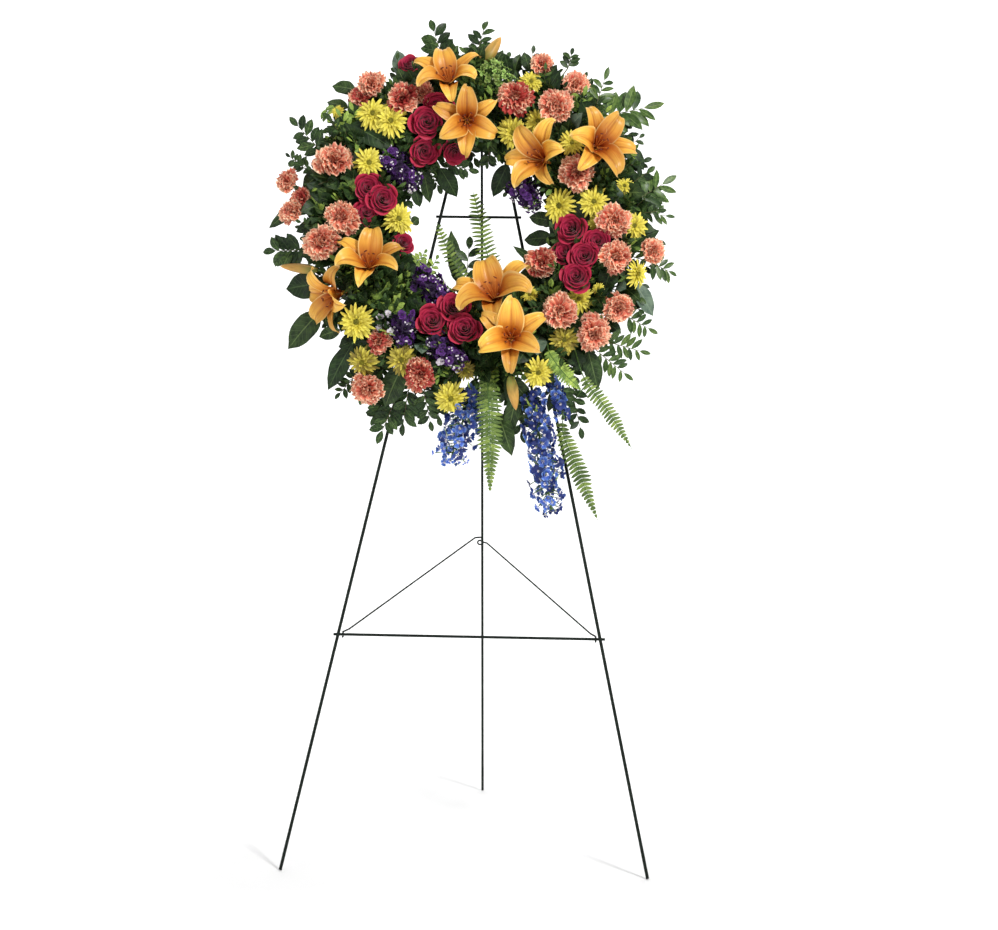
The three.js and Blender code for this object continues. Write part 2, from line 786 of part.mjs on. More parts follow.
// A spike of florets from one place to another: rims of pointed petals round a slim core
function spike({ name, material, from, to, radius, rows, petals, taper = 0.55 }) {
  const axis = to.clone().sub(from).normalize();
  const length = from.distanceTo(to) + 1.3 * radius;
  const at = pose(from.clone().addScaledVector(axis, -0.65 * radius), axis);
  const rims = [];
  for (let k = 0; k < rows; k++) {
    const t = (k + 0.5) / rows;
    const swell = Math.min(1, 0.62 + 1.6 * t) * (1 - (1 - taper) * t ** 2);
    const r = radius * swell;
    rims.push([r, t * length, 0.58 * r, (t - 0.3 / rows) * length]);
  }
  const rings = [...rimPoints(rims, 2 * petals, at), [vec(0, 0, length).applyMatrix4(at)]];
  const side = vec(1, 0, 0).transformDirection(at);
  const neck = vec(0, 0, -6).applyMatrix4(at);
  const parts = [];
  const keep = skin([
    ...wireRings(
      [-1, 0.25 * length, 0.8 * length, length + 2].map((z) => vec(0, 0, z).applyMatrix4(at)),
      radius + 2,
      side,
      7,
    ),
  ]);
  const keeps = [solidOf(keep)];
  stemmed([{ neck, axis, side, rings }], parts, keeps);
  grow(name, material, parts, keeps);
}

// Fronds and leaves

const SPRING_R = 1.9; // the branch that each bunch of greens springs from
const BRANCH_Z = FOAM_TOP + GAP + SPRING_R;
const PIN_DEPTH = 22;
const foamKeep = solidOf(
  turned(
    [
      [RING_R - FOAM_HALF_WIDTH - 2.4, TRAY_BACK - 0.5],
      [RING_R + FOAM_HALF_WIDTH + 2.4, TRAY_BACK - 0.5],
      [RING_R + FOAM_HALF_WIDTH + 2.4, FOAM_TOP - FOAM_CHAMFER],
      [RING_R + FOAM_HALF_WIDTH - FOAM_CHAMFER, FOAM_TOP + GAP],
      [RING_R - FOAM_HALF_WIDTH + FOAM_CHAMFER, FOAM_TOP + GAP],
      [RING_R - FOAM_HALF_WIDTH - 2.4, FOAM_TOP - FOAM_CHAMFER],
    ],
    RING_SIDES,
  ),
);

// Outlines start with a stalk up to the share of the path where the blade begins
function stalk(share, steps = 2) {
  const outline = [];
  for (let i = 0; i < steps; i++) outline.push([(share * i * 1.1) / steps, 1.25]);
  return outline;
}

function broadOutline(share, half) {
  const rest = 1 - share;
  const shape = [
    [0.02, 0.1],
    [0.3, 0.96],
    [0.68, 0.88],
  ];
  return [...stalk(share), ...shape.map(([t, w]) => [share + t * rest, w * half])];
}

// Narrow leaflets in pairs, cut to the rib
function combOutline(share, half, pairs, stalkSteps) {
  const rest = (1 - share) / (pairs + 0.5);
  const outline = stalk(share, stalkSteps);
  for (let i = 0; i < pairs; i++) {
    const t = (i + 0.5) / pairs;
    const w = half * Math.min(1, 0.55 + 2.2 * t, 2.3 * (1 - t) + 0.12);
    outline.push([share + rest * (i + 0.05), Math.max(0.16 * w, 1.3)]);
    outline.push([share + rest * (i + 0.5), w, 0.3 * w]);
  }
  return outline;
}

// Small oval leaves in pairs
function sprigOutline(share, half, pairs) {
  const rest = (1 - share) / (pairs + 0.7);
  const outline = stalk(share);
  for (let i = 0; i < pairs; i++) {
    const w = half * (1 - (0.3 * i) / pairs);
    outline.push([share + rest * (i + 0.04), 1.2]);
    outline.push([share + rest * (i + 0.66), w, 0.45 * w]);
  }
  return outline;
}

const outlineOf = { leaf: broadOutline, comb: combOutline, sprig: sprigOutline };

// A blade and its stalk, from start by way of base to tip
function leafPart({ kind, start, via, base, tip, half, pairs }, parts, keeps) {
  const bow = base.distanceTo(tip) * 0.1;
  const crown = base.clone().lerp(tip, 0.5).add(vec(0, 0, bow));
  const points = [start, ...via, base, crown, tip];
  const path = smooth(points);
  const share = (smooth([start, ...via, base]).getLength() / path.getLength()) * 0.98;
  const up = facing(crown);
  const outline = outlineOf[kind](share, half, pairs);
  parts.push(solidOf(frond(points, outline, up)));
  const grown = outline.map(([t, w, sweep]) => [t, w + 2 * CLEARANCE, sweep]);
  keeps.push(solidOf(frond(points, grown, up, 1.3 + 2 * CLEARANCE)));
}

// The space round a stalk that leads to the station after it
function stalkKeep(points, stations) {
  const path = smooth(points);
  const along = stations.map(([t]) => path.getPointAt(t));
  return solidOf(skin(wireRings(along, 2.6, vec(0, 0, 1), 4)));
}

// Fronds that share a foot: each has its points [pixel x, y, height], and its comb begins
// at the one numbered from
function fernFrond(name, foot, fronds) {
  const parts = [];
  const keeps = [];
  const { low, knee } = footBelow(onPlane(foot, FOAM_TOP));
  for (const { points, from, half, pairs } of fronds) {
    const stalkSteps = 2 + 2 * from;
    const path = [knee, ...points.map(([px, py, z]) => onPlane([px, py], z))];
    const bare = smooth(path.slice(0, from + 2)).getLength();
    const share = bare / smooth(path).getLength();
    const outline = combOutline(share, half, pairs, stalkSteps);
    keeps.push(stalkKeep(path, outline.slice(0, stalkSteps + 1)));
    parts.push(solidOf(frond(path, outline, vec(0, 0, 1))));
    const grown = outline.map(([t, w, sweep]) => [t, w + 2.5 * CLEARANCE, sweep]);
    keeps.push(solidOf(frond(path, grown, vec(0, 0, 1), 1.3 + 3 * CLEARANCE)));
  }
  const root = (radius, extra) => {
    const ends = [knee.clone().setZ(knee.z + 1.5), low.clone().setZ(low.z - extra)];
    return solidOf(skin(wireRings(ends, radius, vec(1, 0, 0))));
  };
  parts.push(root(STEM_R, 0));
  keeps.push(root(STEM_R + STEM_SPACE, HOLE_EXTRA));
  stemHoles.push(keeps.at(-1));
  grow(name, FERN, parts, keeps);
}

// The blooms, read from the view

const hook = hangingHook();
growth.push({ name: "hanging_hook", material: ENAMEL, solid: hook, keeps: [hangingHook(0.6)] });

lilyStem(
  "lily_stem_top",
  [
    [450, 85, 80, 101, -0.1, 0.5],
    [467, 120, 76, 93, 0.05, 0, 8],
  ],
  [{ base: [484, 62], tip: [501, 37], lift: [42, 52], radius: 11 }],
);
lilyStem(
  "lily_stem_right",
  [
    [546, 161, 84, 122, -0.4, 0.25, 6],
    [595, 148, 84, 55, 0.3, 0.05],
  ],
  [],
);
lilyStem(
  "lily_stem_left",
  [
    [369, 270, 82, 82, 0, 0.55, 6],
    [341, 293, 80, 100, -1.1, -0.5, -22],
  ],
  [{ base: [318, 270], tip: [280, 266], lift: [34, 40], radius: 9 }],
);
lilyStem(
  "lily_stem_bottom",
  [
    [494, 301, 86, 105, -0.15, 0.5, -6],
    [511, 339, 84, 87, 0, 0.1, 14],
  ],
  [{ base: [510, 376], tip: [516, 410], lift: [72, 60], radius: 10 }],
);

spray("roses_upper_left", "rose", [
  [427, 122, 29, 6],
  [424, 151, 27, 2],
  [439, 107, 26, -4],
  [456, 151, 25, -6, 0, -0.3],
]);
spray("rose_top", "rose", [[409, 64, 20, -14]]);
spray("roses_left", "rose", [
  [368, 188, 26, 2],
  [383, 199, 27, 8],
  [366, 212, 22, -4],
]);
spray("rose_left_inner", "rose", [[403, 243, 21, -6]]);
spray("roses_bottom", "rose", [
  [454, 307, 29, 6],
  [432, 321, 28, 0],
  [464, 329, 29, 8],
]);
spray("roses_right", "rose", [
  [571, 229, 27, 0],
  [597, 242, 26, -2],
  [584, 256, 26, 6],
  [565, 252, 22, -12],
  [576, 277, 28, 8],
]);

spray("carnations_top_left", "carnation", [
  [371, 84, 28, -6],
  [360, 97, 22, -12],
  [402, 99, 31, 4],
  [423, 92, 24, -10],
]);
spray("carnation_left_upper", "carnation", [[333, 160, 36, 2]]);
spray("carnations_left_edge", "carnation", [
  [287, 182, 25, 0],
  [292, 211, 24, 0],
  [301, 199, 22, -10],
]);
spray("carnations_left", "carnation", [
  [342, 217, 32, -2],
  [322, 242, 35, 6],
]);
spray("carnations_top_right", "carnation", [
  [515, 97, 33, 4],
  [555, 106, 34, 8],
  [575, 84, 27, -8],
  [542, 64, 24, -10],
]);
spray("carnation_right_upper", "carnation", [[577, 173, 35, 12]]);
spray("carnations_right", "carnation", [
  [614, 221, 32, 0],
  [617, 257, 31, 4],
  [653, 251, 25, 0],
]);
spray("carnation_right_inner", "carnation", [[541, 262, 31, -6]]);
spray("carnations_lower_right", "carnation", [
  [559, 311, 33, 4],
  [594, 334, 34, 4],
  [619, 307, 31, -2],
]);
spray("carnation_bottom", "carnation", [[420, 375, 31, 4]]);
spray("carnations_lower_left", "carnation", [
  [368, 389, 30, 0],
  [379, 341, 24, -10],
]);

spray("mums_upper_left", "mum", [
  [373, 114, 33, 6],
  [391, 121, 34, 10],
  [369, 163, 32, 0],
  [338, 112, 16, -16],
]);
spray("mum_left_inner", "mum", [[398, 219, 33, 6]]);
spray("mums_lower_left", "mum", [
  [357, 322, 37, 10],
  [363, 362, 31, 0],
]);
spray("mum_lower_inner", "mum", [[402, 360, 31, -4]]);
spray("mums_bottom", "mum", [
  [451, 398, 33, 0],
  [466, 370, 22, -10],
]);
spray("mums_bottom_right", "mum", [
  [538, 372, 31, 4],
  [564, 340, 30, -8],
  [530, 295, 19, -8],
  [579, 299, 29, -10],
  [598, 289, 14, -8],
]);
spray("mums_right", "mum", [
  [560, 206, 34, 4],
  [594, 202, 31, 8],
  [600, 224, 26, -8],
  [634, 226, 28, -4],
  [637, 274, 28, 2],
  [624, 186, 19, -4],
]);
spray("mums_top_right", "mum", [
  [513, 133, 33, 0],
  [538, 121, 27, -6],
  [531, 82, 25, -6],
  [572, 143, 26, 14],
]);

const SPIKES = [
  ["stock_upper_left", STOCK, [393, 160], [410, 180], 44, 27, 4, 6],
  ["stock_upper_right", STOCK, [522, 188], [532, 200], 46, 26, 3, 6],
  ["stock_centre", STOCK, [425, 283], [436, 293], 40, 26, 3, 6],
  ["stock_lower_left", STOCK, [404, 322], [404, 338], 44, 22, 4, 5],
  ["stock_bottom", STOCK, [438, 345], [458, 360], 52, 23, 4, 5],
  ["delphinium_left", DELPHINIUM, [469, 402], [453, 454], 34, 33, 7, 6],
  ["delphinium_right", DELPHINIUM, [538, 402], [547, 508], 30, 26, 12, 5],
  ["delphinium_upper", DELPHINIUM, [553, 383], [566, 420], 34, 21, 5, 5],
  ["filler_top", FILLER, [492, 76], [503, 82], 40, 33, 4, 7],
];
for (const [name, material, from, to, lift, radius, rows, petals] of SPIKES) {
  spike({ name, material, from: place(from, lift), to: place(to, lift), radius, rows, petals });
}

fernFrond("fern_hole", [497, 314], [
  { points: [[497, 282, 58], [488, 240, 46], [473, 192, 34]], from: 0, half: 20, pairs: 13 },
  { points: [[470, 288, 60], [452, 254, 50], [436, 224, 42]], from: 0, half: 12, pairs: 8 },
]);
fernFrond("fern_bottom", [487, 352], [
  { points: [[487, 372, 104], [490, 430, 92], [490, 494, 70]], from: 0, half: 25, pairs: 14 },
]);
fernFrond("fern_bright", [548, 338], [
  { points: [[549, 352, 110], [563, 372, 108], [582, 391, 92]], from: 0, half: 13, pairs: 8 },
]);
fernFrond("fern_lower_right", [600, 358], [
  { points: [[584, 378, 78], [606, 408, 70], [632, 449, 60]], from: 0, half: 17, pairs: 10 },
  {
    points: [[592, 372, 58], [576, 398, 40], [562, 424, 22], [578, 470, 20], [598, 521, 18]],
    from: 2,
    half: 19,
    pairs: 11,
  },
]);

// Leaves and sprigs: pixel places of base and tip, half width, height of base and tip
const LEAVES = [
  ["leaf", [356, 90], [332, 86], 16, 10, 24],
  ["leaf", [350, 124], [394, 149], 19, 52, 40],
  ["leaf", [396, 136], [413, 160], 13, 34, 36],
  ["leaf", [322, 172], [302, 190], 18, 22, 18],
  ["leaf", [296, 208], [269, 228], 12, 10, 0],
  ["leaf", [316, 222], [296, 232], 11, 10, 10],
  ["leaf", [403, 78], [397, 50], 14, 14, 22],
  ["leaf", [348, 108], [327, 102], 11, 14, 10],
  ["leaf", [424, 172], [430, 203], 12, 20, 6],
  ["leaf", [415, 188], [420, 207], 11, 6, 2],
  ["leaf", [440, 168], [457, 197], 16, 22, 4],
  ["leaf", [508, 164], [493, 197], 15, 22, 4],
  ["leaf", [554, 222], [529, 217], 13, 26, 12],
  ["leaf", [552, 238], [524, 240], 15, 24, 12],
  ["leaf", [412, 224], [419, 218], 9, 16, 12],
  ["leaf", [448, 284], [455, 234], 10, 6, -6],
  ["leaf", [544, 270], [513, 246], 8, 14, 6],
  ["leaf", [324, 284], [286, 289], 24, 8, 8],
  ["leaf", [320, 312], [288, 349], 23, 20, 12],
  ["leaf", [340, 330], [319, 337], 12, 16, 12],
  ["leaf", [352, 344], [328, 390], 18, 26, 16],
  ["leaf", [402, 366], [385, 407], 21, 30, 20],
  ["leaf", [588, 350], [598, 390], 17, 26, 20],
  ["leaf", [574, 350], [584, 372], 12, 30, 28],
  ["leaf", [636, 284], [653, 316], 16, 10, 6],
  ["leaf", [612, 266], [604, 291], 18, 34, 26],
  ["leaf", [628, 148], [644, 170], 16, 12, 8],
  ["leaf", [530, 72], [524, 52], 11, 16, 18],
  ["leaf", [534, 78], [540, 60], 11, 14, 16],
  ["leaf", [510, 378], [530, 402], 14, 30, 22],
  ["leaf", [498, 412], [512, 456], 17, 20, 8],
  ["leaf", [330, 128], [352, 140], 13, 30, 30],
  ["sprig", [445, 66], [430, 19], 22, 16, 30, 4],
  ["sprig", [474, 64], [486, 23], 17, 12, 26, 4],
  ["sprig", [602, 117], [658, 106], 26, 10, 20, 4],
  ["sprig", [594, 112], [607, 73], 17, 12, 18, 4],
  ["sprig", [568, 68], [573, 49], 13, -2, 6, 2],
  ["sprig", [634, 202], [672, 179], 22, 10, 20, 4],
  ["sprig", [636, 212], [672, 217], 13, 6, 10, 3],
  ["sprig", [650, 262], [678, 276], 18, 8, 10, 3],
  ["sprig", [626, 316], [656, 333], 17, 8, 8, 3],
  ["sprig", [608, 342], [649, 354], 18, 6, 6, 4],
  ["sprig", [598, 352], [631, 379], 17, 12, 6, 4],
  ["sprig", [320, 150], [292, 120], 19, 10, 14, 3],
  ["sprig", [304, 168], [286, 154], 12, 6, 8, 3],
  ["sprig", [302, 250], [263, 252], 21, 6, 12, 4],
  ["sprig", [396, 398], [378, 442], 21, 8, 2, 4],
  ["sprig", [424, 392], [432, 430], 17, 14, 4, 3],
  ["sprig", [446, 164], [476, 172], 15, 16, 8, 3],
  ["sprig", [464, 284], [470, 235], 14, 4, -4, 3],
  ["sprig", [576, 392], [589, 438], 17, 14, 4, 3],
  ["sprig", [316, 214], [313, 196], 14, 44, 50, 3],
  ["sprig", [350, 196], [347, 176], 13, 40, 46, 3],
  ["sprig", [388, 302], [378, 284], 16, 34, 40, 3],
];
const SECTORS = 8;
const SECTOR = (2 * Math.PI) / SECTORS;
const SECTOR_NAMES = [
  "right",
  "upper_right",
  "top",
  "upper_left",
  "left",
  "lower_left",
  "bottom",
  "lower_right",
];
const polar = (r, a, z) => vec(r * Math.cos(a), r * Math.sin(a), z);

// Angles of the stems' feet on one side of the ring, which stalks keep clear of
const footAngles = [];

function clearAngle(angle, side, from, to) {
  for (const shift of [0, 0.03, -0.03, 0.06, -0.06, 0.09, -0.09]) {
    const a = angle + shift;
    if (a < from || a > to) continue;
    const near = footAngles.some(
      (f) => f.side === side && Math.abs(Math.atan2(Math.sin(a - f.a), Math.cos(a - f.a))) < 0.022,
    );
    if (!near) return a;
  }
  return angle;
}

for (const foot of stemHoles) {
  const { min, max } = foot.boundingBox();
  const [x, y] = [(min[0] + max[0]) / 2, (min[1] + max[1]) / 2];
  footAngles.push({ a: Math.atan2(y, x), side: Math.hypot(x, y) > RING_R ? 1 : -1 });
}

function greens(sector) {
  const middle = sector * SECTOR;
  const [from, to] = [middle - SECTOR / 2 + 0.012, middle + SECTOR / 2 - 0.012];
  const parts = [];
  const keeps = [];
  for (const [kind, basePx, tipPx, half, baseLift, tipLift, pairs] of LEAVES) {
    const base = place(basePx, baseLift);
    const tip = place(tipPx, tipLift);
    const angle = Math.atan2(base.y, base.x);
    const turn = Math.atan2(Math.sin(angle - middle), Math.cos(angle - middle));
    if (turn < -SECTOR / 2 || turn >= SECTOR / 2) continue;
    const side = Math.hypot(base.x, base.y) > RING_R ? 1 : -1;
    const inside = THREE.MathUtils.clamp(middle + turn, from + 0.02, to - 0.02);
    const a = clearAngle(inside, side, from + 0.015, to - 0.015);
    const start = polar(RING_R, a, BRANCH_Z);
    const via = [polar(RING_R + side * FOOT_OFFSET, a, BRANCH_Z + 4)];
    if (Math.abs(Math.hypot(base.x, base.y) - RING_R) > 62) {
      via.push(polar(RING_R + side * 46, a + 0.3 * (middle + turn - a), BRANCH_Z + 4.5));
    }
    leafPart({ kind, start, via, base, tip, half, pairs }, parts, keeps);
  }
  const leafy = join(parts).subtract(foamKeep);
  const along = [];
  for (let i = 0; i <= 6; i++) along.push(polar(RING_R, from + ((to - from) * i) / 6, BRANCH_Z));
  const branch = rod(smooth(along), SPRING_R, 4, 6);
  const pinAt = polar(RING_R, middle + 0.01, 0);
  const pin = (radius, extra) => {
    const low = pinAt.clone().setZ(FOAM_TOP - PIN_DEPTH - extra);
    return straightRod(low, pinAt.clone().setZ(BRANCH_Z + 0.5), radius, 4);
  };
  stemHoles.push(pin(SPRING_R + STEM_SPACE, HOLE_EXTRA));
  grow("greens_" + SECTOR_NAMES[sector], LEAF, [leafy, branch, pin(SPRING_R, 0)], keeps);
}

for (let sector = 0; sector < SECTORS; sector++) greens(sector);

// Assembly

const model = new THREE.Group();
const easel = new THREE.Group();
model.add(easel, wreath);
easel.add(
  meshOf("front_leg_left", frontLeg(-1), ENAMEL),
  meshOf("front_leg_right", frontLeg(1), ENAMEL),
  meshOf("crossbar_lower", crossbar(LOWER_BAR_HEIGHT, CROSSBAR_R, BAR_OVERHANG), ENAMEL),
  meshOf("crossbar_upper", crossbar(UPPER_BAR_HEIGHT, CROSSBAR_R, BAR_OVERHANG), ENAMEL),
  meshOf("hinge_bar", crossbar(HINGE_HEIGHT, HINGE_R, BAR_OVERHANG), ENAMEL),
  meshOf("rear_leg", rearLeg(), ENAMEL),
  meshOf("brace", brace(), ENAMEL),
);
wreath.add(
  meshOf("foam_tray", foamTray(), TRAY_PLASTIC),
  meshOf("foam_ring", wholeOf(clearOf(foamRing(), stemHoles)), WET_FOAM),
);
for (const { name, material, solid } of growth) wreath.add(meshOf(name, solid, material));

// The origin is under the middle of the whole object's box
const box = new THREE.Box3().setFromObject(model, true);
const shift = box.getCenter(vec(0, 0, 0)).setZ(0);
easel.position.sub(shift);
wreath.position.sub(shift);

export default model;
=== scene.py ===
"""A standing floral wreath: fresh flowers and greens in a foam ring on a folding wire easel."""
import math
import random

import bpy
import numpy as np
from mathutils import Matrix, Vector


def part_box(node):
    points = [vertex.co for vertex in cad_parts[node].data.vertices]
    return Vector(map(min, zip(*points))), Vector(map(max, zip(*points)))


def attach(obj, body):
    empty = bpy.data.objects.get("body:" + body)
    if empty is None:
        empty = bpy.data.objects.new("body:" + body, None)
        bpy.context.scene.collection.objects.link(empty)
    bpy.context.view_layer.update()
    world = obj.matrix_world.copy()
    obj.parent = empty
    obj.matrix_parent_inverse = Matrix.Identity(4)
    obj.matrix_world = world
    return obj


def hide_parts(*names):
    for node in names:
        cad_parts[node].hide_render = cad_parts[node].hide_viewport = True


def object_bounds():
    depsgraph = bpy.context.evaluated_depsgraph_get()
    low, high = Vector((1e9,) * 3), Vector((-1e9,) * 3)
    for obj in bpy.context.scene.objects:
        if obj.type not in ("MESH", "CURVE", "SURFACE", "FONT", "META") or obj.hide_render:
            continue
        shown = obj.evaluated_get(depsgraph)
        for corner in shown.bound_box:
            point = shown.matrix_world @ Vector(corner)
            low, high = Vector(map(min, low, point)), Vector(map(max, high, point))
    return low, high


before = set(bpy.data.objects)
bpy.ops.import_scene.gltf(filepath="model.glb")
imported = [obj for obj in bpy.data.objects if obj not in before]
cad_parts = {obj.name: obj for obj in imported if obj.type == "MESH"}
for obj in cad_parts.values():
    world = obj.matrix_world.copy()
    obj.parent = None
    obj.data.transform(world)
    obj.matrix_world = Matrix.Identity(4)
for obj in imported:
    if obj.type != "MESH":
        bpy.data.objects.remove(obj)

cad_box = [list(corner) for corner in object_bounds()]
rad = math.radians


def vec(*numbers):
    return np.array(numbers, float)


def unit(v):
    return v / max(float(np.linalg.norm(v)), 1e-9)


def units(rows):
    return rows / np.maximum(np.linalg.norm(rows, axis=1), 1e-9)[:, None]


def polar(r, a, z):
    return vec(r * math.cos(a), r * math.sin(a), z)


def round_grid(radius, angles, z):
    """Rings of points: radius and z have a row for each ring."""
    radius = radius + 0 * angles
    return np.stack([radius * np.cos(angles), radius * np.sin(angles), z + 0 * radius], axis=-1)


def quads_of(rows, cols, first=0):
    at = first + np.arange(rows * cols).reshape(rows, cols)
    return np.stack([at[:-1, :-1], at[:-1, 1:], at[1:, 1:], at[1:, :-1]], axis=-1).reshape(-1, 4)


# Frames. Lengths are in millimetres here, and turn into metres where a mesh is made.

LEAN = rad(13.5)
APEX_HEIGHT = 1490
FOOT_HALF_SPREAD = 330
LEG_TOP, HINGE_HEIGHT, UPPER_BAR_HEIGHT, LOWER_BAR_HEIGHT, CREST_HEIGHT = 1440, 1405, 1172, 414, 536
REAR_FOOT_Y = 600
LEG_R, REAR_LEG_R, CROSSBAR_R, HINGE_R, BRACE_R, HOOK_R = 3, 2.5, 2.5, 2, 1.6, 1.5
GAP = 0.3
RING_HEIGHT = 1146
RING_R = 230
FOAM_HALF_WIDTH, FOAM_TOP, FOAM_FLOOR, FOAM_CHAMFER = 42, 62, 5.2, 12
TRAY_BACK, TRAY_FLOOR, TRAY_RIM, TRAY_WALL = 3.3, 4.9, 24, 1.6
INNER, OUTER = RING_R - FOAM_HALF_WIDTH, RING_R + FOAM_HALF_WIDTH
FLORAL_HALF_WIDTH = 115
EDGE_DROP = 30
EDGE_LEAN = 0.6
FOOT_OFFSET, FOOT_DEPTH, FORK_HEIGHT = 24, 26, 10
STEM_R = 2.6
# The turn from one petal or floret to the next round a head, and the reach of a random turn
GOLDEN, ANY_TURN = 2.39996, 6.28

FRONT = vec(0, -math.cos(LEAN), math.sin(LEAN))


def leg_point(height, side):
    spread = side * FOOT_HALF_SPREAD * (1 - height / APEX_HEIGHT)
    return vec(spread, height * math.tan(LEAN), height)


def behind_legs(height, distance):
    return leg_point(height, 0) - distance * FRONT


HINGE_AXIS = behind_legs(HINGE_HEIGHT, LEG_R + GAP + HINGE_R)
hinge_low, hinge_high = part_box("hinge_bar")
SHIFT = HINGE_AXIS - 500 * (np.array(hinge_low) + np.array(hinge_high))
RING_CENTRE = leg_point(RING_HEIGHT, 0)
# Columns: the ring's right, its up along the legs, and its front
RING_AXES = np.array(
    [
        [1, 0, 0],
        [0, math.sin(LEAN), -math.cos(LEAN)],
        [0, math.cos(LEAN), math.sin(LEAN)],
    ]
)


def from_ring(points):
    return points @ RING_AXES.T + RING_CENTRE


# The photograph's view

EYE = vec(255.5, -3991.6, 1187.8)
YAW, PITCH, ROLL = rad(-2.85), rad(6.4), rad(0.587)
FOCAL_PX = 2291
FRAME_PX = (998, 930)
CENTRE_PX = (499, 465)

AHEAD = vec(math.sin(YAW) * math.cos(PITCH), math.cos(YAW) * math.cos(PITCH), -math.sin(PITCH))
LEVEL = vec(math.cos(YAW), -math.sin(YAW), 0)
UPWARD = np.cross(LEVEL, AHEAD)
VIEW_RIGHT = LEVEL * math.cos(ROLL) + UPWARD * math.sin(ROLL)
VIEW_UP = UPWARD * math.cos(ROLL) - LEVEL * math.sin(ROLL)
EYE_IN_RING = (EYE - RING_CENTRE) @ RING_AXES


def make_camera():
    data = bpy.data.cameras.new("camera")
    data.sensor_width = 36
    data.lens = FOCAL_PX * data.sensor_width / FRAME_PX[0]
    data.clip_end = 60
    camera = bpy.data.objects.new("camera", data)
    bpy.context.collection.objects.link(camera)
    turn = Matrix((Vector(VIEW_RIGHT), Vector(VIEW_UP), Vector(-AHEAD))).transposed()
    camera.matrix_world = Matrix.Translation(Vector((EYE - SHIFT) / 1000)) @ turn.to_4x4()
    bpy.context.scene.camera = camera


make_camera()


# Places in the ring's frame, read from the view: a pixel and a height above the foam


def on_plane(pixel, z):
    ray = (
        AHEAD
        + VIEW_RIGHT * ((pixel[0] - CENTRE_PX[0]) / FOCAL_PX)
        + VIEW_UP * ((CENTRE_PX[1] - pixel[1]) / FOCAL_PX)
    ) @ RING_AXES
    return EYE_IN_RING + ray * ((z - EYE_IN_RING[2]) / ray[2])


def off_centre(p):
    return (math.hypot(p[0], p[1]) - RING_R) / FLORAL_HALF_WIDTH


def place(pixel, lift):
    p = on_plane(pixel, FOAM_TOP + lift)
    for _ in range(3):
        p = on_plane(pixel, FOAM_TOP + lift - EDGE_DROP * min(off_centre(p) ** 2, 1.4))
    return p


def facing(p, look=(0, 0)):
    out = unit(vec(p[0], p[1], 0))
    lean = EDGE_LEAN * min(max(off_centre(p), -1.2), 1.3)
    return unit(vec(look[0], look[1], 1) + out * lean)


def pose(p, axis, spin=0.0):
    """A head's frame: its own right, up and axis as rows, and its place."""
    side = unit(np.cross(vec(0, 1, 0), axis))
    other = np.cross(axis, side)
    c, s = math.cos(spin), math.sin(spin)
    return np.array([side * c + other * s, other * c - side * s, axis]), np.array(p, float)


def posed(at, points):
    axes, middle = at
    return points @ axes + middle


def smooth(points, count):
    """Places spread evenly along a smooth curve through the points."""
    pts = [np.asarray(p, float) for p in points]
    pts = [2 * pts[0] - pts[1]] + pts + [2 * pts[-1] - pts[-2]]
    line = []
    for a, b, c, d in zip(pts, pts[1:], pts[2:], pts[3:]):
        t = [0.0]
        for p, q in ((a, b), (b, c), (c, d)):
            t.append(t[-1] + max(float(np.linalg.norm(q - p)), 1e-4) ** 0.5)
        s = np.linspace(t[1], t[2], 10, endpoint=False)[:, None]

        def between(p, q, low, high):
            return p + (q - p) * (s - t[low]) / (t[high] - t[low])

        first, second, third = between(a, b, 0, 1), between(b, c, 1, 2), between(c, d, 2, 3)
        left = first + (second - first) * (s - t[0]) / (t[2] - t[0])
        right = second + (third - second) * (s - t[1]) / (t[3] - t[1])
        line.append(left + (right - left) * (s - t[1]) / (t[2] - t[1]))
    line = np.vstack(line + [pts[-2][None]])
    steps = np.linalg.norm(np.diff(line, axis=0), axis=1)
    reach = np.concatenate([[0], np.cumsum(steps)])
    wanted = np.linspace(0, reach[-1], count)
    return np.stack([np.interp(wanted, reach, line[:, k]) for k in range(3)], axis=1)


def length_of(points):
    return float(np.linalg.norm(np.diff(points, axis=0), axis=1).sum())


def tangents(path):
    return units(np.gradient(path, axis=0))


def straight(a, b, count):
    return a + (b - a) * np.linspace(0, 1, count)[:, None]


# Surfaces. A piece gathers grids of points; each point knows its place across and along
# its petal or leaf, and a tone of its own.


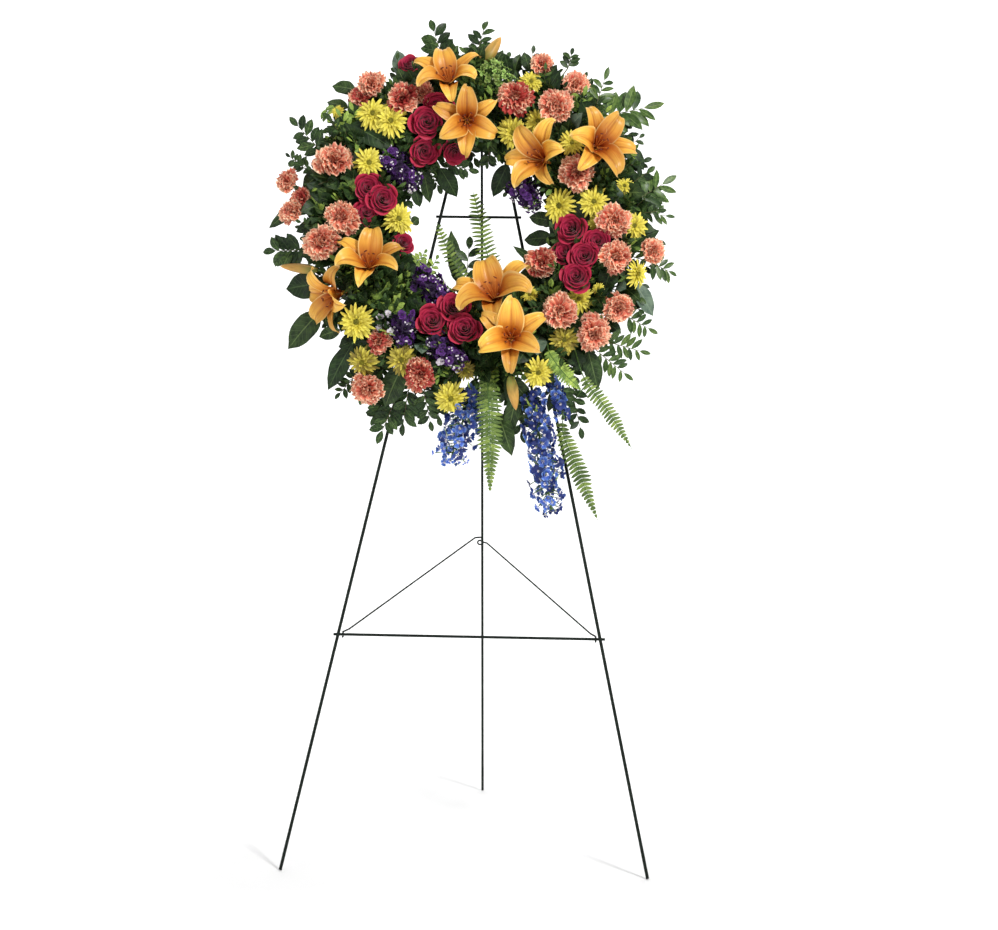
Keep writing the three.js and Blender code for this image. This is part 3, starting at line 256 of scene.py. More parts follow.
class Piece:
    def __init__(self, name, *materials):
        self.name = name
        self.materials = list(materials)
        self.grids = []

    def grid(self, points, material, tone=0.5):
        self.grids.append((np.asarray(points, float), material, tone))

    def tube(self, path, radius, material, tone=0.5, sides=6):
        """A round wire or stem. radius is one number, or one for each point of the path."""
        path = np.asarray(path, float)
        radius = np.broadcast_to(np.asarray(radius, float), (len(path),))
        along = tangents(path)
        # The ends are closed, but for a pinhole
        path = np.vstack([path[:1], path, path[-1:]])
        along = np.vstack([along[:1], along, along[-1:]])
        radius = np.concatenate([[radius[0] * 0.02], radius, [radius[-1] * 0.02]])
        across = unit(np.cross(along[0], vec(0.31, 0.17, 0.93)))
        rings = []
        angles = np.linspace(0, 2 * math.pi, sides + 1)[:, None]
        cos, sin = np.cos(angles), np.sin(angles)
        for p, a, r in zip(path, along, radius):
            across = unit(across - a * float(across @ a))
            other = np.cross(across, a)
            rings.append(p + r * (cos * across + sin * other))
        self.grid(rings, material, tone)

    def build(self, node, body="stand_and_wreath", world=False):
        """Makes the mesh, in metres, lets it ride on its body, and lets it stand for its node."""
        points, quads, uvs, tones, kinds = [], [], [], [], []
        first = 0
        for grid, material, tone in self.grids:
            rows, cols = grid.shape[:2]
            quads.append(quads_of(rows, cols, first))
            u, v = np.meshgrid(np.linspace(0, 1, cols), np.linspace(0, 1, rows))
            uvs.append(np.stack([u, v], axis=-1).reshape(-1, 2))
            points.append(grid.reshape(-1, 3))
            tones.append(np.full(rows * cols, tone))
            kinds.append(np.full(len(quads[-1]), self.materials.index(material)))
            first += rows * cols
        points = np.vstack(points)
        if not world:
            points = from_ring(points)
        points = (points - SHIFT) / 1000
        points[:, 2] = np.maximum(points[:, 2], 0.0)
        quads = np.vstack(quads)
        mesh = bpy.data.meshes.new(self.name)
        mesh.vertices.add(len(points))
        mesh.vertices.foreach_set("co", points.astype(np.float32).ravel())
        mesh.loops.add(quads.size)
        mesh.loops.foreach_set("vertex_index", quads.astype(np.int32).ravel())
        mesh.polygons.add(len(quads))
        mesh.polygons.foreach_set("loop_start", np.arange(0, quads.size, 4, dtype=np.int32))
        mesh.polygons.foreach_set("material_index", np.concatenate(kinds).astype(np.int32))
        mesh.polygons.foreach_set("use_smooth", np.ones(len(quads), bool))
        blade = mesh.uv_layers.new(name="Blade")
        blade.uv.foreach_set("vector", np.vstack(uvs)[quads.ravel()].astype(np.float32).ravel())
        tone = mesh.attributes.new("tone", "FLOAT", "POINT")
        tone.data.foreach_set("value", np.concatenate(tones).astype(np.float32))
        mesh.update(calc_edges=True)
        mesh.validate()
        for material in self.materials:
            mesh.materials.append(MATERIALS[material])
        made = bpy.data.objects.new(self.name, mesh)
        bpy.context.collection.objects.link(made)
        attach(made, body)
        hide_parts(node)


# Materials


def srgb(r, g, b):
    def linear(c):
        c /= 255
        return c / 12.92 if c <= 0.04045 else ((c + 0.055) / 1.055) ** 2.4

    return (linear(r), linear(g), linear(b), 1.0)


class Finish:
    """A material's nodes: colours from a blade's own coordinates, noise and tone."""

    def __init__(self, name, roughness, **sockets):
        self.material = bpy.data.materials.new(name)
        self.material.use_nodes = True
        self.tree = self.material.node_tree
        self.shader = self.tree.nodes["Principled BSDF"]
        self.set(Roughness=roughness, **sockets)
        MATERIALS[name] = self.material

    def set(self, **sockets):
        for name, value in sockets.items():
            self.link(value, self.shader.inputs[name.replace("_", " ")])

    def link(self, value, socket):
        if isinstance(value, bpy.types.NodeSocket):
            self.tree.links.new(value, socket)
        else:
            socket.default_value = value

    def node(self, kind, output=0, inputs=(), **settings):
        made = self.tree.nodes.new("ShaderNode" + kind)
        for name, value in settings.items():
            setattr(made, name, value)
        for key, value in dict(inputs).items():
            self.link(value, made.inputs[key])
        return made.outputs[output]

    def math(self, operation, a, b=0.0):
        return self.node("Math", 0, {0: a, 1: b}, operation=operation)

    def plus(self, a, b):
        return self.math("ADD", a, b)

    def less(self, a, b):
        return self.math("SUBTRACT", a, b)

    def scaled(self, value, times):
        return self.math("MULTIPLY", value, times)

    def mix(self, share, a, b):
        return self.node("Mix", 2, {0: share, 6: a, 7: b}, data_type="RGBA")

    def blade(self):
        """Across, 0 at the rib and 1 at either edge; along, 0 at the root; the tone; raw across."""
        uv = self.node("UVMap", 0, uv_map="Blade")
        parts = self.tree.nodes.new("ShaderNodeSeparateXYZ")
        self.tree.links.new(uv, parts.inputs[0])
        raw = parts.outputs[0]
        doubled = self.node("Math", 0, {0: raw, 1: 2.0, 2: -1.0}, operation="MULTIPLY_ADD")
        edge = self.math("ABSOLUTE", doubled)
        tone = self.node("Attribute", 2, attribute_name="tone")
        return edge, parts.outputs[1], tone, raw

    def noise(self, x, y, z, detail=2.0):
        at = self.node("CombineXYZ", 0, {0: x, 1: y, 2: z})
        return self.node("TexNoise", 0, {0: at, 2: 1.0, 3: detail, 4: 0.55})

    def step(self, value, low, high):
        return self.node("MapRange", 0, {0: value, 1: low, 2: high},
                         interpolation_type="SMOOTHSTEP")

    def grain(self, scale, detail=3.0):
        """Noise fixed in the object's own space."""
        at = self.node("TexCoord", 3)
        return self.node("TexNoise", 0, {0: at, 2: scale, 3: detail})

    def bump(self, height, strength, distance):
        return self.node("Bump", 0, {0: strength, 1: distance, "Height": height})


MATERIALS = {}


def petal_finish(name, root, body, tip, rim, streak, streaks, rough=0.5, rim_from=0.7, amount=0.5,
                 body_at=0.35, tip_at=0.8, vary=0.3, rib=None, sheen=0.0, deep=None,
                 relief=0.0008):
    """A petal: its colour from root to tip, a paler or darker rim, and fine streaks. Where deep is
    given, heads and petals of a low tone turn to it: varied colour of their own, and painted
    shade on the heads given darker tones."""
    f = Finish(name, rough)
    edge, along, tone, raw = f.blade()
    colour = f.mix(f.step(along, 0.02, body_at), srgb(*root), srgb(*body))
    colour = f.mix(f.step(along, tip_at - 0.3, tip_at + 0.2), colour, srgb(*tip))
    lines = f.noise(f.scaled(raw, streaks), f.scaled(along, 2.2), f.scaled(tone, 61.0))
    blotch = f.noise(f.scaled(raw, 2.5), f.scaled(along, 2.5), f.scaled(tone, 37.0))
    colour = f.mix(f.scaled(f.step(lines, 0.48, 0.7), amount), colour, srgb(*streak))
    reach = f.plus(f.math("MAXIMUM", f.math("POWER", edge, 2.0), f.step(along, 0.72, 1.0)),
                   f.scaled(f.less(lines, 0.5), 0.7))
    colour = f.mix(f.step(reach, rim_from, rim_from + 0.35), colour, srgb(*rim))
    if rib:
        colour = f.mix(f.scaled(f.less(1.0, f.step(edge, 0.02, 0.16)), 0.45), colour, srgb(*rib))
    # Low tones turn to deep: varied colour, and painted shade on heads given darker tones
    if deep:
        colour = f.mix(f.step(tone, 0.75, 0.1), colour, srgb(*deep))
    light = f.plus(f.scaled(f.less(tone, 0.5), vary), f.scaled(f.less(blotch, 0.5), 0.35))
    colour = f.node("HueSaturation", 0, {0: f.plus(0.5, f.scaled(light, 0.03)), 1: 1.0,
                                         2: f.plus(1.0, light), 4: colour})
    height = f.plus(f.scaled(lines, 0.7), f.scaled(blotch, 0.5))
    f.set(Base_Color=colour, Normal=f.bump(height, 0.45, relief),
          Roughness=f.plus(rough - 0.1, f.scaled(blotch, 0.2)))
    if sheen:
        f.set(Sheen_Weight=sheen, Sheen_Roughness=0.4)
    f.set(Specular_IOR_Level=0.35)


def leaf_finish(name, dark, light, vein, rough=0.36, veins=9.0, vary=0.45, gloss=0.42):
    """A leaf: a light rib, side veins that run forward, and mottled, glossy green between."""
    f = Finish(name, rough)
    edge, along, tone, raw = f.blade()
    mottle = f.noise(f.scaled(raw, 3.0), f.scaled(along, 6.0), f.scaled(tone, 47.0), detail=3.0)
    wobble = f.scaled(mottle, 0.1)
    run = f.plus(f.less(along, f.scaled(edge, 0.42 * 0.45)), wobble)
    wave = f.math("ABSOLUTE", f.math("SINE", f.scaled(run, veins * math.pi)))
    side = f.less(1.0, f.step(wave, 0.0, 0.3))
    side = f.math("MULTIPLY", side, f.less(1.0, f.step(edge, 0.7, 1.0)))
    rib = f.less(1.0, f.step(edge, 0.0, 0.09))
    colour = f.mix(f.step(mottle, 0.3, 0.75), srgb(*dark), srgb(*light))
    veined = f.math("MAXIMUM", f.scaled(side, 0.6 * 0.45), f.scaled(rib, 0.6))
    colour = f.mix(veined, colour, srgb(*vein))
    bright = f.plus(1.0, f.scaled(f.less(tone, 0.5), vary * 2))
    hue = f.plus(0.5, f.scaled(f.less(0.5, tone), 0.035))
    colour = f.node("HueSaturation", 0, {0: hue, 1: 1.0, 2: bright, 4: colour})
    height = f.less(f.scaled(mottle, 0.4), f.math("MAXIMUM", side, rib))
    f.set(Base_Color=colour, Normal=f.bump(height, 0.45, 0.0007),
          Roughness=f.plus(rough - 0.08, f.scaled(mottle, 0.2)))
    f.set(Specular_IOR_Level=gloss)


def grained_finish(name, dark, light, scale, rough, bump=0.3, **sockets):
    """A plain material whose colour, gloss and relief follow one fine grain."""
    f = Finish(name, rough, **sockets)
    grain = f.grain(scale)
    coarse = f.grain(scale * 0.12, 2.0)
    share = f.plus(f.scaled(grain, 0.6), f.scaled(coarse, 0.4))
    f.set(Base_Color=f.mix(f.step(share, 0.35, 0.65), srgb(*dark), srgb(*light)),
          Normal=f.bump(grain, bump, 0.0005),
          Roughness=f.plus(rough - 0.08, f.scaled(coarse, 0.16)))


petal_finish("lily_petal", (160, 60, 20), (222, 146, 46), (238, 184, 78), (246, 208, 128),
             (196, 102, 28), 17, rough=0.38, rib=(176, 90, 28), body_at=0.6, rim_from=0.72,
             vary=0.4, relief=0.0016, tip_at=0.62)
petal_finish("lily_bud", (126, 134, 58), (200, 154, 74), (214, 156, 76), (220, 178, 104),
             (150, 120, 52), 9, rough=0.45, amount=0.7, body_at=0.55, vary=0.1)
petal_finish("rose_petal", (86, 6, 30), (156, 20, 54), (178, 28, 68), (204, 54, 92),
             (116, 8, 38), 12, rough=0.58, amount=0.35, rim_from=0.88, vary=0.36, sheen=0.25)
# Carnations' and mums' deep colours also paint shade on heads that sit deep among the others
petal_finish("carnation_petal", (136, 26, 28), (208, 86, 70), (232, 138, 110), (254, 218, 184),
             (248, 188, 156), 8, rough=0.66, amount=0.6, body_at=0.6, deep=(196, 72, 60))
petal_finish("mum_petal", (158, 150, 40), (220, 204, 72), (236, 222, 96), (244, 234, 140),
             (190, 172, 30), 5, rough=0.6, amount=0.45, rim_from=0.95, deep=(146, 130, 52))
petal_finish("stock_petal", (150, 122, 168), (70, 28, 100), (88, 44, 124), (142, 104, 174),
             (46, 16, 70), 7, rough=0.6, body_at=0.2, rim_from=0.84, vary=0.5, deep=(38, 12, 54))
petal_finish("stock_pale", (214, 212, 180), (240, 236, 232), (226, 214, 236), (206, 188, 226),
             (190, 170, 210), 8, rough=0.6, amount=0.4, rim_from=0.8, vary=0.2)
petal_finish("delphinium_petal", (214, 222, 242), (66, 104, 190), (118, 160, 222), (178, 204, 238),
             (52, 62, 156), 8, body_at=0.22, rim_from=0.74, vary=0.6, deep=(38, 46, 128))
petal_finish("filler_petal", (92, 130, 44), (144, 178, 84), (172, 200, 108), (204, 222, 150),
             (88, 124, 44), 7, rough=0.6, vary=0.7)
leaf_finish("broad_leaf", (24, 42, 20), (54, 78, 37), (108, 132, 78), rough=0.42, gloss=0.24)
leaf_finish("grey_leaf", (78, 100, 82), (114, 134, 112), (150, 168, 142), rough=0.5, vary=0.2)
leaf_finish("small_leaf", (26, 46, 22), (60, 88, 40), (112, 138, 80), 0.38, 5.0, 0.6, 0.26)
leaf_finish("lily_leaf", (46, 72, 30), (88, 118, 52), (146, 166, 104), veins=1.0, gloss=0.34)
leaf_finish("fern_leaf", (76, 104, 38), (128, 152, 68), (176, 192, 118), 0.46, 7.0, 0.5)
leaf_finish("light_leaf", (104, 136, 48), (156, 184, 84), (190, 208, 128), rough=0.5, vary=0.5)
grained_finish("stem_green", (58, 92, 36), (96, 130, 58), 240, 0.5)
grained_finish("stem_woody", (74, 58, 34), (92, 96, 48), 300, 0.6)
grained_finish("anther", (84, 32, 14), (122, 54, 22), 900, 0.8)
grained_finish("filament", (196, 112, 44), (218, 140, 62), 300, 0.5)
grained_finish("mum_eye", (92, 92, 24), (164, 156, 44), 900, 0.75, bump=0.6)
grained_finish("enamel_wire", (16, 23, 19), (30, 38, 33), 420, 0.5, bump=0.12,
               Specular_IOR_Level=0.14)
grained_finish("tray_plastic", (18, 48, 30), (26, 62, 40), 160, 0.45, bump=0.1)


def foam_painted_shade_finish():
    """Open, crumbly wet foam with fine cells. Its colours are darkened almost to black, a painted
    shade that makes the gaps between the greens read as shadowed foliage.
    """
    f = Finish("wet_foam", 0.92)
    at = f.node("TexCoord", 3)
    cells = f.node("TexVoronoi", 0, {0: at, 2: 900.0})
    patches = f.grain(30, 4.0)
    # Painted shade: the foam's colours are near black, like the shaded gaps in the foliage
    f.set(Base_Color=f.mix(patches, srgb(22, 50, 30), srgb(44, 78, 46)),
          Normal=f.bump(cells, 0.7, 0.0012),
          Roughness=f.plus(0.82, f.scaled(cells, 0.15)))


foam_painted_shade_finish()

# Petals and blades


def fan(piece, at, turn, line, angle=None, half=None, cup=0.0, lift=None, dip=None, cols=6,
        material="", tone=0.5):
    """A petal round a head's axis. line holds [radius, height] stations. Its width is a half
    angle round the axis, or a half width; lift raises it off its line, and dip draws it back."""
    r, z = np.asarray(line, float).T
    v = np.linspace(-1, 1, cols + 1)[None]
    run_r, run_z = np.gradient(r), np.gradient(z)
    run = np.maximum(np.hypot(run_r, run_z), 1e-6)
    normal_r, normal_z = (-run_z / run)[:, None], (run_r / run)[:, None]
    if half is not None:
        across = np.asarray(half)[:, None] * v
        rise = cup * np.abs(across) * np.abs(v)
    else:
        across = None
        rise = cup * np.asarray(angle)[:, None] * r[:, None] * v**2
    if lift is not None:
        rise = rise + lift
    radius, height = r[:, None] + normal_r * rise, z[:, None] + normal_z * rise
    if dip is not None:
        radius = radius - dip * (run_r / run)[:, None]
        height = height - dip * (run_z / run)[:, None]
    if across is None:
        a = np.asarray(angle)[:, None] * v
        x, y = radius * np.cos(a), radius * np.sin(a)
    else:
        x, y = radius, across + 0 * radius
    c, s = math.cos(turn), math.sin(turn)
    points = np.stack([x * c - y * s, x * s + y * c, height + 0 * x], axis=-1)
    piece.grid(posed(at, points), material, tone)


def ribbon(piece, path, half, up, material, tone=0.5, cols=4, cup=0.0, fold=0.0, wave=0.0,
           waves=3.0, phase=0.0):
    """A leaf blade along a path. fold lifts both halves off the rib, cup curves them down."""
    half = np.asarray(half, float)[:, None]
    along = tangents(path)
    side = units(np.cross(along, up))
    over = np.cross(side, along)
    v = np.linspace(-1, 1, cols + 1)[None]
    t = np.linspace(0, 1, len(path))[:, None]
    rise = half * (fold * np.abs(v) - cup * v**2)
    rise = rise + wave * np.sin(waves * 2 * math.pi * t + phase + 1.7 * np.sign(v)) * v**2 * half
    path, side, over = path[:, None], side[:, None], over[:, None]
    piece.grid(path + side * (half * v)[..., None] + over * rise[..., None], material, tone)


def arc(start, heading, up, length, droop, count):
    """A path that leaves start along heading and droops away from up."""
    s = np.linspace(0, 1, count)[:, None] * length
    bend = droop * (s / length) ** 2
    return start + heading * s * (1 - 0.25 * abs(droop) * (s / length)) - up * s * bend


# What grows in the foam


def foot_below(p):
    """The place in the foam where the stem of what is at p ends, and where it comes out."""
    a = math.atan2(p[1], p[0])
    r = RING_R + (FOOT_OFFSET if math.hypot(p[0], p[1]) > RING_R else -FOOT_OFFSET)
    return polar(r, a, FOAM_TOP - FOOT_DEPTH), polar(r, a, FOAM_TOP + FORK_HEIGHT)


def stems(piece, necks, raised=0.0):
    """The first head's stem goes down into the foam, and the others leave it low down."""
    low, knee = foot_below(sum(neck for neck, _ in necks) / len(necks))
    knee[2] += raised
    for i, (neck, axis) in enumerate(necks):
        under = neck - 16 * axis
        under = under + (knee - under) * 0.2
        under[2] = min(under[2], knee[2] + 8)
        fork = knee if i == 0 else knee - vec(0, 0, 4)
        path = smooth([neck, under, fork] + ([low] if i == 0 else []), 14)
        thick = STEM_R if i == 0 else STEM_R * 0.8
        piece.tube(path, thick * np.linspace(0.85, 1.05, len(path)), "stem_green", 0.5, 7)


# Spaces that loose leaves keep clear of: heads as (middle, axis, radius, is it a lily), and balls
HEAD_SPACES = []
BALLS = []


def lily(piece, at, length, turn, rng):
    for j in range(6):
        inner = j % 2 == 0
        size = length * (1.06 + rng.uniform(-0.06, 0.06))
        begin, end = (12, 92) if inner else (20, 104)
        end += rng.uniform(-16, 8)
        recurve = rng.uniform(45, 130)
        width = (0.56 if inner else 0.42) * length * rng.uniform(0.9, 1.06)
        count, cols = 15, 12
        r, z = [4.4 if inner else 5.2], [1.2 if inner else -0.6]
        for i in range(count - 1):
            t = (i + 0.5) / (count - 1)
            a = rad(begin + (end - begin) * t**0.9 + recurve * max(0.0, (t - 0.6) / 0.4) ** 2)
            r.append(r[-1] + size / (count - 1) * math.sin(a))
            z.append(z[-1] + size / (count - 1) * math.cos(a))
        t = np.linspace(0, 1, count)
        half = width / 2 * np.clip(np.sin(math.pi * t**0.92), 0, 1) ** 0.86
        half = np.maximum(half, 3.4 * (1 - t) ** 2)
        half[-1] = 0.3
        v = np.linspace(-1, 1, cols + 1)[None]
        body = (4 * t * (1 - t))[:, None]
        phase = rng.uniform(0, ANY_TURN)
        # A channel along the rib with a low ridge on either side of it
        ridge, channel = np.exp(-(((np.abs(v) - 0.3) / 0.16) ** 2)), np.exp(-((v / 0.13) ** 2))
        lift = body * (ridge - 2.6 * channel)
        wave = np.sin(9 * t[:, None] + phase + 2 * np.sign(v))
        lift = lift + 0.042 * length * body * wave * np.abs(v) ** 3
        lift = lift + 0.05 * length * v * math.sin(phase) * t[:, None] ** 2
        fan(piece, at, rad(turn + 60 * j + rng.uniform(-5, 5)), np.stack([r, z], 1), half=half,
            cup=rng.uniform(0.2, 0.42), lift=lift, cols=cols, material="lily_petal",
            tone=rng.random())
    # Six stamens, and the pistil with its three lobes
    for j in range(7):
        pistil = j == 6
        a = rad(turn + 30 + 60 * j)
        tilt = 0.0 if pistil else rad(rng.uniform(16, 30))
        reach = length * (0.5 if pistil else rng.uniform(0.36, 0.46))
        s = np.linspace(0, 1, 7)[:, None]
        out = polar(1, a, 0)
        path = vec(0, 0, 2) + vec(0, 0, 1) * s * reach * math.cos(tilt)
        path = path + out * s**1.4 * reach * math.sin(tilt) + (0 if pistil else out * 1.5)
        tip = path[-1]
        thick = np.linspace(1.0, 0.6, 7) * (1.2 if pistil else 1)
        piece.tube(posed(at, path), thick, "filament", 0.5, 5)
        if pistil:
            for k in range(3):
                lobe = tip + 1.4 * polar(1, rad(120 * k + 20), 0.2)
                knob = posed(at, np.stack([tip, tip * 0.4 + lobe * 0.6, lobe]))
                piece.tube(knob, [1.2, 1.5, 0.8], "anther", 0.2, 5)
        else:
            swing = vec(-math.sin(a), math.cos(a), rng.uniform(-0.6, 0.6)) * rng.uniform(2.6, 3.6)
            body = tip + swing * np.linspace(-1, 1, 6)[:, None]
            piece.tube(posed(at, body), [0.4, 1.0, 1.25, 1.25, 1.0, 0.4], "anther", rng.random(), 6)


def lily_bud(piece, base, tip, radius, rng):
    along = tip - base
    size = float(np.linalg.norm(along))
    at = pose(base, along / size, rng.uniform(0, 3))
    t = np.linspace(0, 1, 14)
    r = radius * np.sin(math.pi * t**0.72) ** 0.62
    r[0], r[-1] = 2.6, 0.4
    angles = np.linspace(0, 2 * math.pi, 25)
    ridge = 1 + 0.1 * np.abs(np.cos(1.5 * angles))[None] - 0.05
    points = round_grid(r[:, None] * ridge, angles, (t * size)[:, None])
    piece.grid(posed(at, points), "lily_bud", rng.random())


def lance_leaf(piece, start, heading, up, length, half, rng, material="lily_leaf"):
    t = np.linspace(0, 1, 9)
    width = half * np.sin(math.pi * np.clip(t * 0.94 + 0.05, 0, 1)) ** 0.8
    width[-1] = 0.25
    ribbon(piece, arc(start, heading, up, length, rng.uniform(0.1, 0.45), 9), width, up, material,
           rng.random(), cols=4, fold=0.22, wave=0.06, phase=rng.uniform(0, 6))


def lily_stem(node, blooms, buds):
    rng = random.Random(node)
    piece = Piece(node + "_flowers", "lily_petal", "lily_bud", "filament", "anther", "stem_green",
                  "lily_leaf")
    necks = []
    for px, py, length, turn, look_x, look_y, *extra in blooms:
        p = place((px, py), 62 + (extra[0] if extra else 0))
        axis = facing(p, (look_x, look_y))
        at = pose(p, axis)
        lily(piece, at, length, turn, rng)
        neck = posed(at, vec(0, 0, -14))
        necks.append((neck, axis))
        t = np.linspace(0, 1, 6)
        throat = posed(at, np.stack([0 * t, 0 * t, -14 + 17 * t], 1))
        piece.tube(throat, 2.4 + 3.4 * t**1.6, "lily_petal", 0.2, 12)
        HEAD_SPACES.append((p, axis, length, True))
        for k in range(3):
            a = rng.uniform(0, ANY_TURN)
            out = posed((at[0], 0 * p), polar(1, a, -0.1))
            lance_leaf(piece, neck - 8 * axis, unit(out), axis, rng.uniform(45, 62), 6.5, rng)
    for base_px, tip_px, lift, radius in buds:
        base, tip = place(base_px, lift[0]), place(tip_px, lift[1])
        lily_bud(piece, base, tip, radius, rng)
        BALLS.extend((base + (tip - base) * t, radius + 4) for t in (0.2, 0.5, 0.8))
        necks.append((base, unit(tip - base)))
    stems(piece, necks)
    piece.build(node)


def sepals(piece, at, radius, low, high, turn):
    """Five small green blades that hold a head from below."""
    t = np.linspace(0, 1, 5)
    line = np.stack([radius * (0.2 + 0.75 * t**0.8), low + (high - low) * t], 1)
    half = radius * 0.26 * np.sin(math.pi * np.clip(t * 0.8 + 0.2, 0, 0.98)) ** 0.8
    for j in range(5):
        fan(piece, at, turn + 2 * math.pi * j / 5, line, half=half, cup=0.4, cols=2,
            material="stem_green")


def cup_below(piece, at, profile, material="stem_green", sides=12):
    """A round cup or dome on a head's axis. profile holds (radius, height) stations."""
    r, z = np.array(profile, float).T[..., None]
    piece.grid(posed(at, round_grid(r, np.linspace(0, 2 * math.pi, sides + 1), z)), material)


def rose(piece, at, radius, rng):
    count = 26
    for i in range(count):
        f = i / (count - 1)
        rim = radius * (0.09 + 0.87 * f**0.85)
        top = radius * (0.47 - 0.06 * f - 0.34 * f**2.6)
        foot = radius * (-0.1 - 0.5 * min(1, f * 1.6))
        t = np.linspace(0, 1, 8)
        bulge = np.sin(t * math.pi / 2) ** 0.8
        r = rim * (0.5 + 0.5 * bulge) * (1 - 0.1 * math.cos(f * 9))
        z = foot + (top - foot) * t
        roll = np.clip((t - 0.72) / 0.28, 0, 1) ** 2
        r = r + roll * radius * (0.05 + 0.12 * f)
        z = z - roll * radius * (0.03 + 0.1 * f)
        angle = (1.25 - 0.5 * f) * (0.62 + 0.38 * np.sin(t * math.pi * 0.62 + 0.35))
        v = np.linspace(-1, 1, 9)[None]
        dip = (0.2 * radius * (0.3 + 0.7 * f)) * (t[:, None] ** 2) * np.abs(v) ** 2.6
        dip = dip - 0.03 * radius * t[:, None] ** 3 * np.exp(-((v / 0.2) ** 2)) * f
        wave = 0.035 * radius * f * np.sin(5 * v + rng.uniform(0, 6)) * t[:, None] ** 2
        # Each petal spirals out a little, so one edge lies inside its neighbour
        spiral = 0.035 * radius * v
        fan(piece, at, i * GOLDEN + rng.uniform(-0.2, 0.2), np.stack([r, z], 1), angle=angle,
            lift=wave - spiral, dip=dip, cols=8, material="rose_petal",
            tone=0.25 + 0.6 * f * rng.uniform(0.7, 1.1))
    cup_below(piece, at, [(radius * 0.1, -0.82 * radius), (radius * 0.26, -0.74 * radius),
                          (radius * 0.34, -0.58 * radius), (radius * 0.55, -0.36 * radius)])
    sepals(piece, at, radius, -0.62 * radius, -0.34 * radius, rng.uniform(0, 6))


def carnation(piece, at, radius, rng, *tones):
    lobes = [rng.uniform(0.84, 1.12) for _ in range(8)]
    outer, middle = 40, 9
    rows, cols = 6, 13
    for i in range(outer + middle):
        turn = i * GOLDEN + rng.uniform(-0.3, 0.3)
        lobe = lobes[int(turn / (2 * math.pi) * len(lobes)) % len(lobes)]
        if i < outer:
            a = math.acos(-0.3 + 1.24 * (i + 0.5) / outer) + rad(rng.uniform(-20, 20))
            size = radius * rng.uniform(0.82, 1.08) * (1 + (lobe - 1) * math.sin(a))
        else:
            a = rad(rng.uniform(-16, 16))
            size = radius * rng.uniform(0.8, 1.0)
        end = vec(size * math.sin(a), 0.56 * size * math.cos(a) - 0.04 * radius)
        begin = vec(0.05 * radius, -0.42 * radius)
        bend = vec(end[0] * rng.uniform(0.3, 0.5), max(end[1] * 0.75, -0.05 * radius))
        t = np.linspace(0, 1, rows)[:, None]
        line = (1 - t) ** 2 * begin + 2 * t * (1 - t) * bend + t**2 * end
        line[-1] += radius * vec(rng.uniform(-0.04, 0.04), rng.uniform(-0.08, 0.04))
        wide = radius * (rng.uniform(0.3, 0.5) if i < outer else rng.uniform(0.2, 0.3))
        half = wide * np.linspace(0.12, 1, rows) ** 0.65
        v = np.linspace(-1, 1, cols + 1)[None]
        folds = rng.uniform(2.0, 3.4)
        phase = rng.uniform(0, ANY_TURN)
        crumple = np.sin(folds * math.pi * v + phase) + 0.35 * np.sin(2.3 * folds * math.pi * v)
        ruffle = rng.uniform(0.1, 0.18) * radius * crumple
        # The edge runs out on each fold's crest and is cut into small teeth
        notch = 0.05 * np.cos(folds * math.pi * v + phase) + 0.035 * (-1.0) ** np.arange(cols + 1)
        dip = 0.2 * radius * np.abs(v) ** 2.4 * t**2 + radius * notch * t**4
        fan(piece, at, turn, line, half=half, cup=rng.uniform(0.1, 0.35), lift=ruffle * t**1.5,
            dip=dip, cols=cols, material="carnation_petal", tone=rng.uniform(*tones))
    cup_below(piece, at, [(radius * 0.09, -0.9 * radius), (radius * 0.2, -0.82 * radius),
                          (radius * 0.24, -0.6 * radius), (radius * 0.27, -0.36 * radius)])
    sepals(piece, at, radius * 0.42, -0.46 * radius, -0.26 * radius, rng.uniform(0, 6))


def mum(piece, at, radius, rng, *tones):
    # Layers of petals: how many, their share of the radius, their rise in degrees, their width
    layers = [(19, 1.0, -6, 0.078), (20, 0.94, 4, 0.078), (18, 0.8, 18, 0.072),
              (15, 0.6, 34, 0.062), (11, 0.4, 54, 0.05)]
    if radius < 24:
        layers = layers[1:4]
    for count, reach, rise, wide in layers:
        start = rng.uniform(0, ANY_TURN)
        for j in range(count):
            size = radius * reach * rng.uniform(0.78, 1.06)
            lean = rad(rise + rng.uniform(-12, 12))
            t = np.linspace(0, 1, 6)
            r = 0.1 * radius + (size - 0.1 * radius) * t * math.cos(lean)
            z = size * t * math.sin(lean) - 0.1 * radius * t**3 + 0.05 * radius
            half = radius * wide * np.array([0.5, 0.85, 1.05, 1.1, 0.95, 0.3])
            fan(piece, at, start + 2 * math.pi * (j + rng.uniform(-0.22, 0.22)) / count,
                np.stack([r, z], 1), half=half, cup=0.5, cols=2, material="mum_petal",
                tone=rng.uniform(*tones))
    t = np.linspace(0, 1, 6)
    dome = np.stack([0.2 * radius * np.cos(t * math.pi / 2) + 0.05,
                     0.06 * radius + 0.12 * radius * np.sin(t * math.pi / 2)], 1)
    cup_below(piece, at, dome, "mum_eye", 14)
    for k in range(26):
        s = math.sqrt((k + 0.5) / 26)
        dome_height = (0.06 + 0.12 * math.sqrt(1 - 0.9 * s * s)) * radius
        spot = polar(0.19 * radius * s, k * GOLDEN, dome_height)
        piece.tube(posed(at, np.stack([spot, spot + vec(0, 0, 0.05 * radius)])),
                   [0.028 * radius, 0.02 * radius], "mum_eye", rng.random(), 4)
    cup_below(piece, at, [(0.09 * radius, -0.3 * radius), (0.2 * radius, -0.2 * radius),
                          (0.3 * radius, -0.04 * radius)])


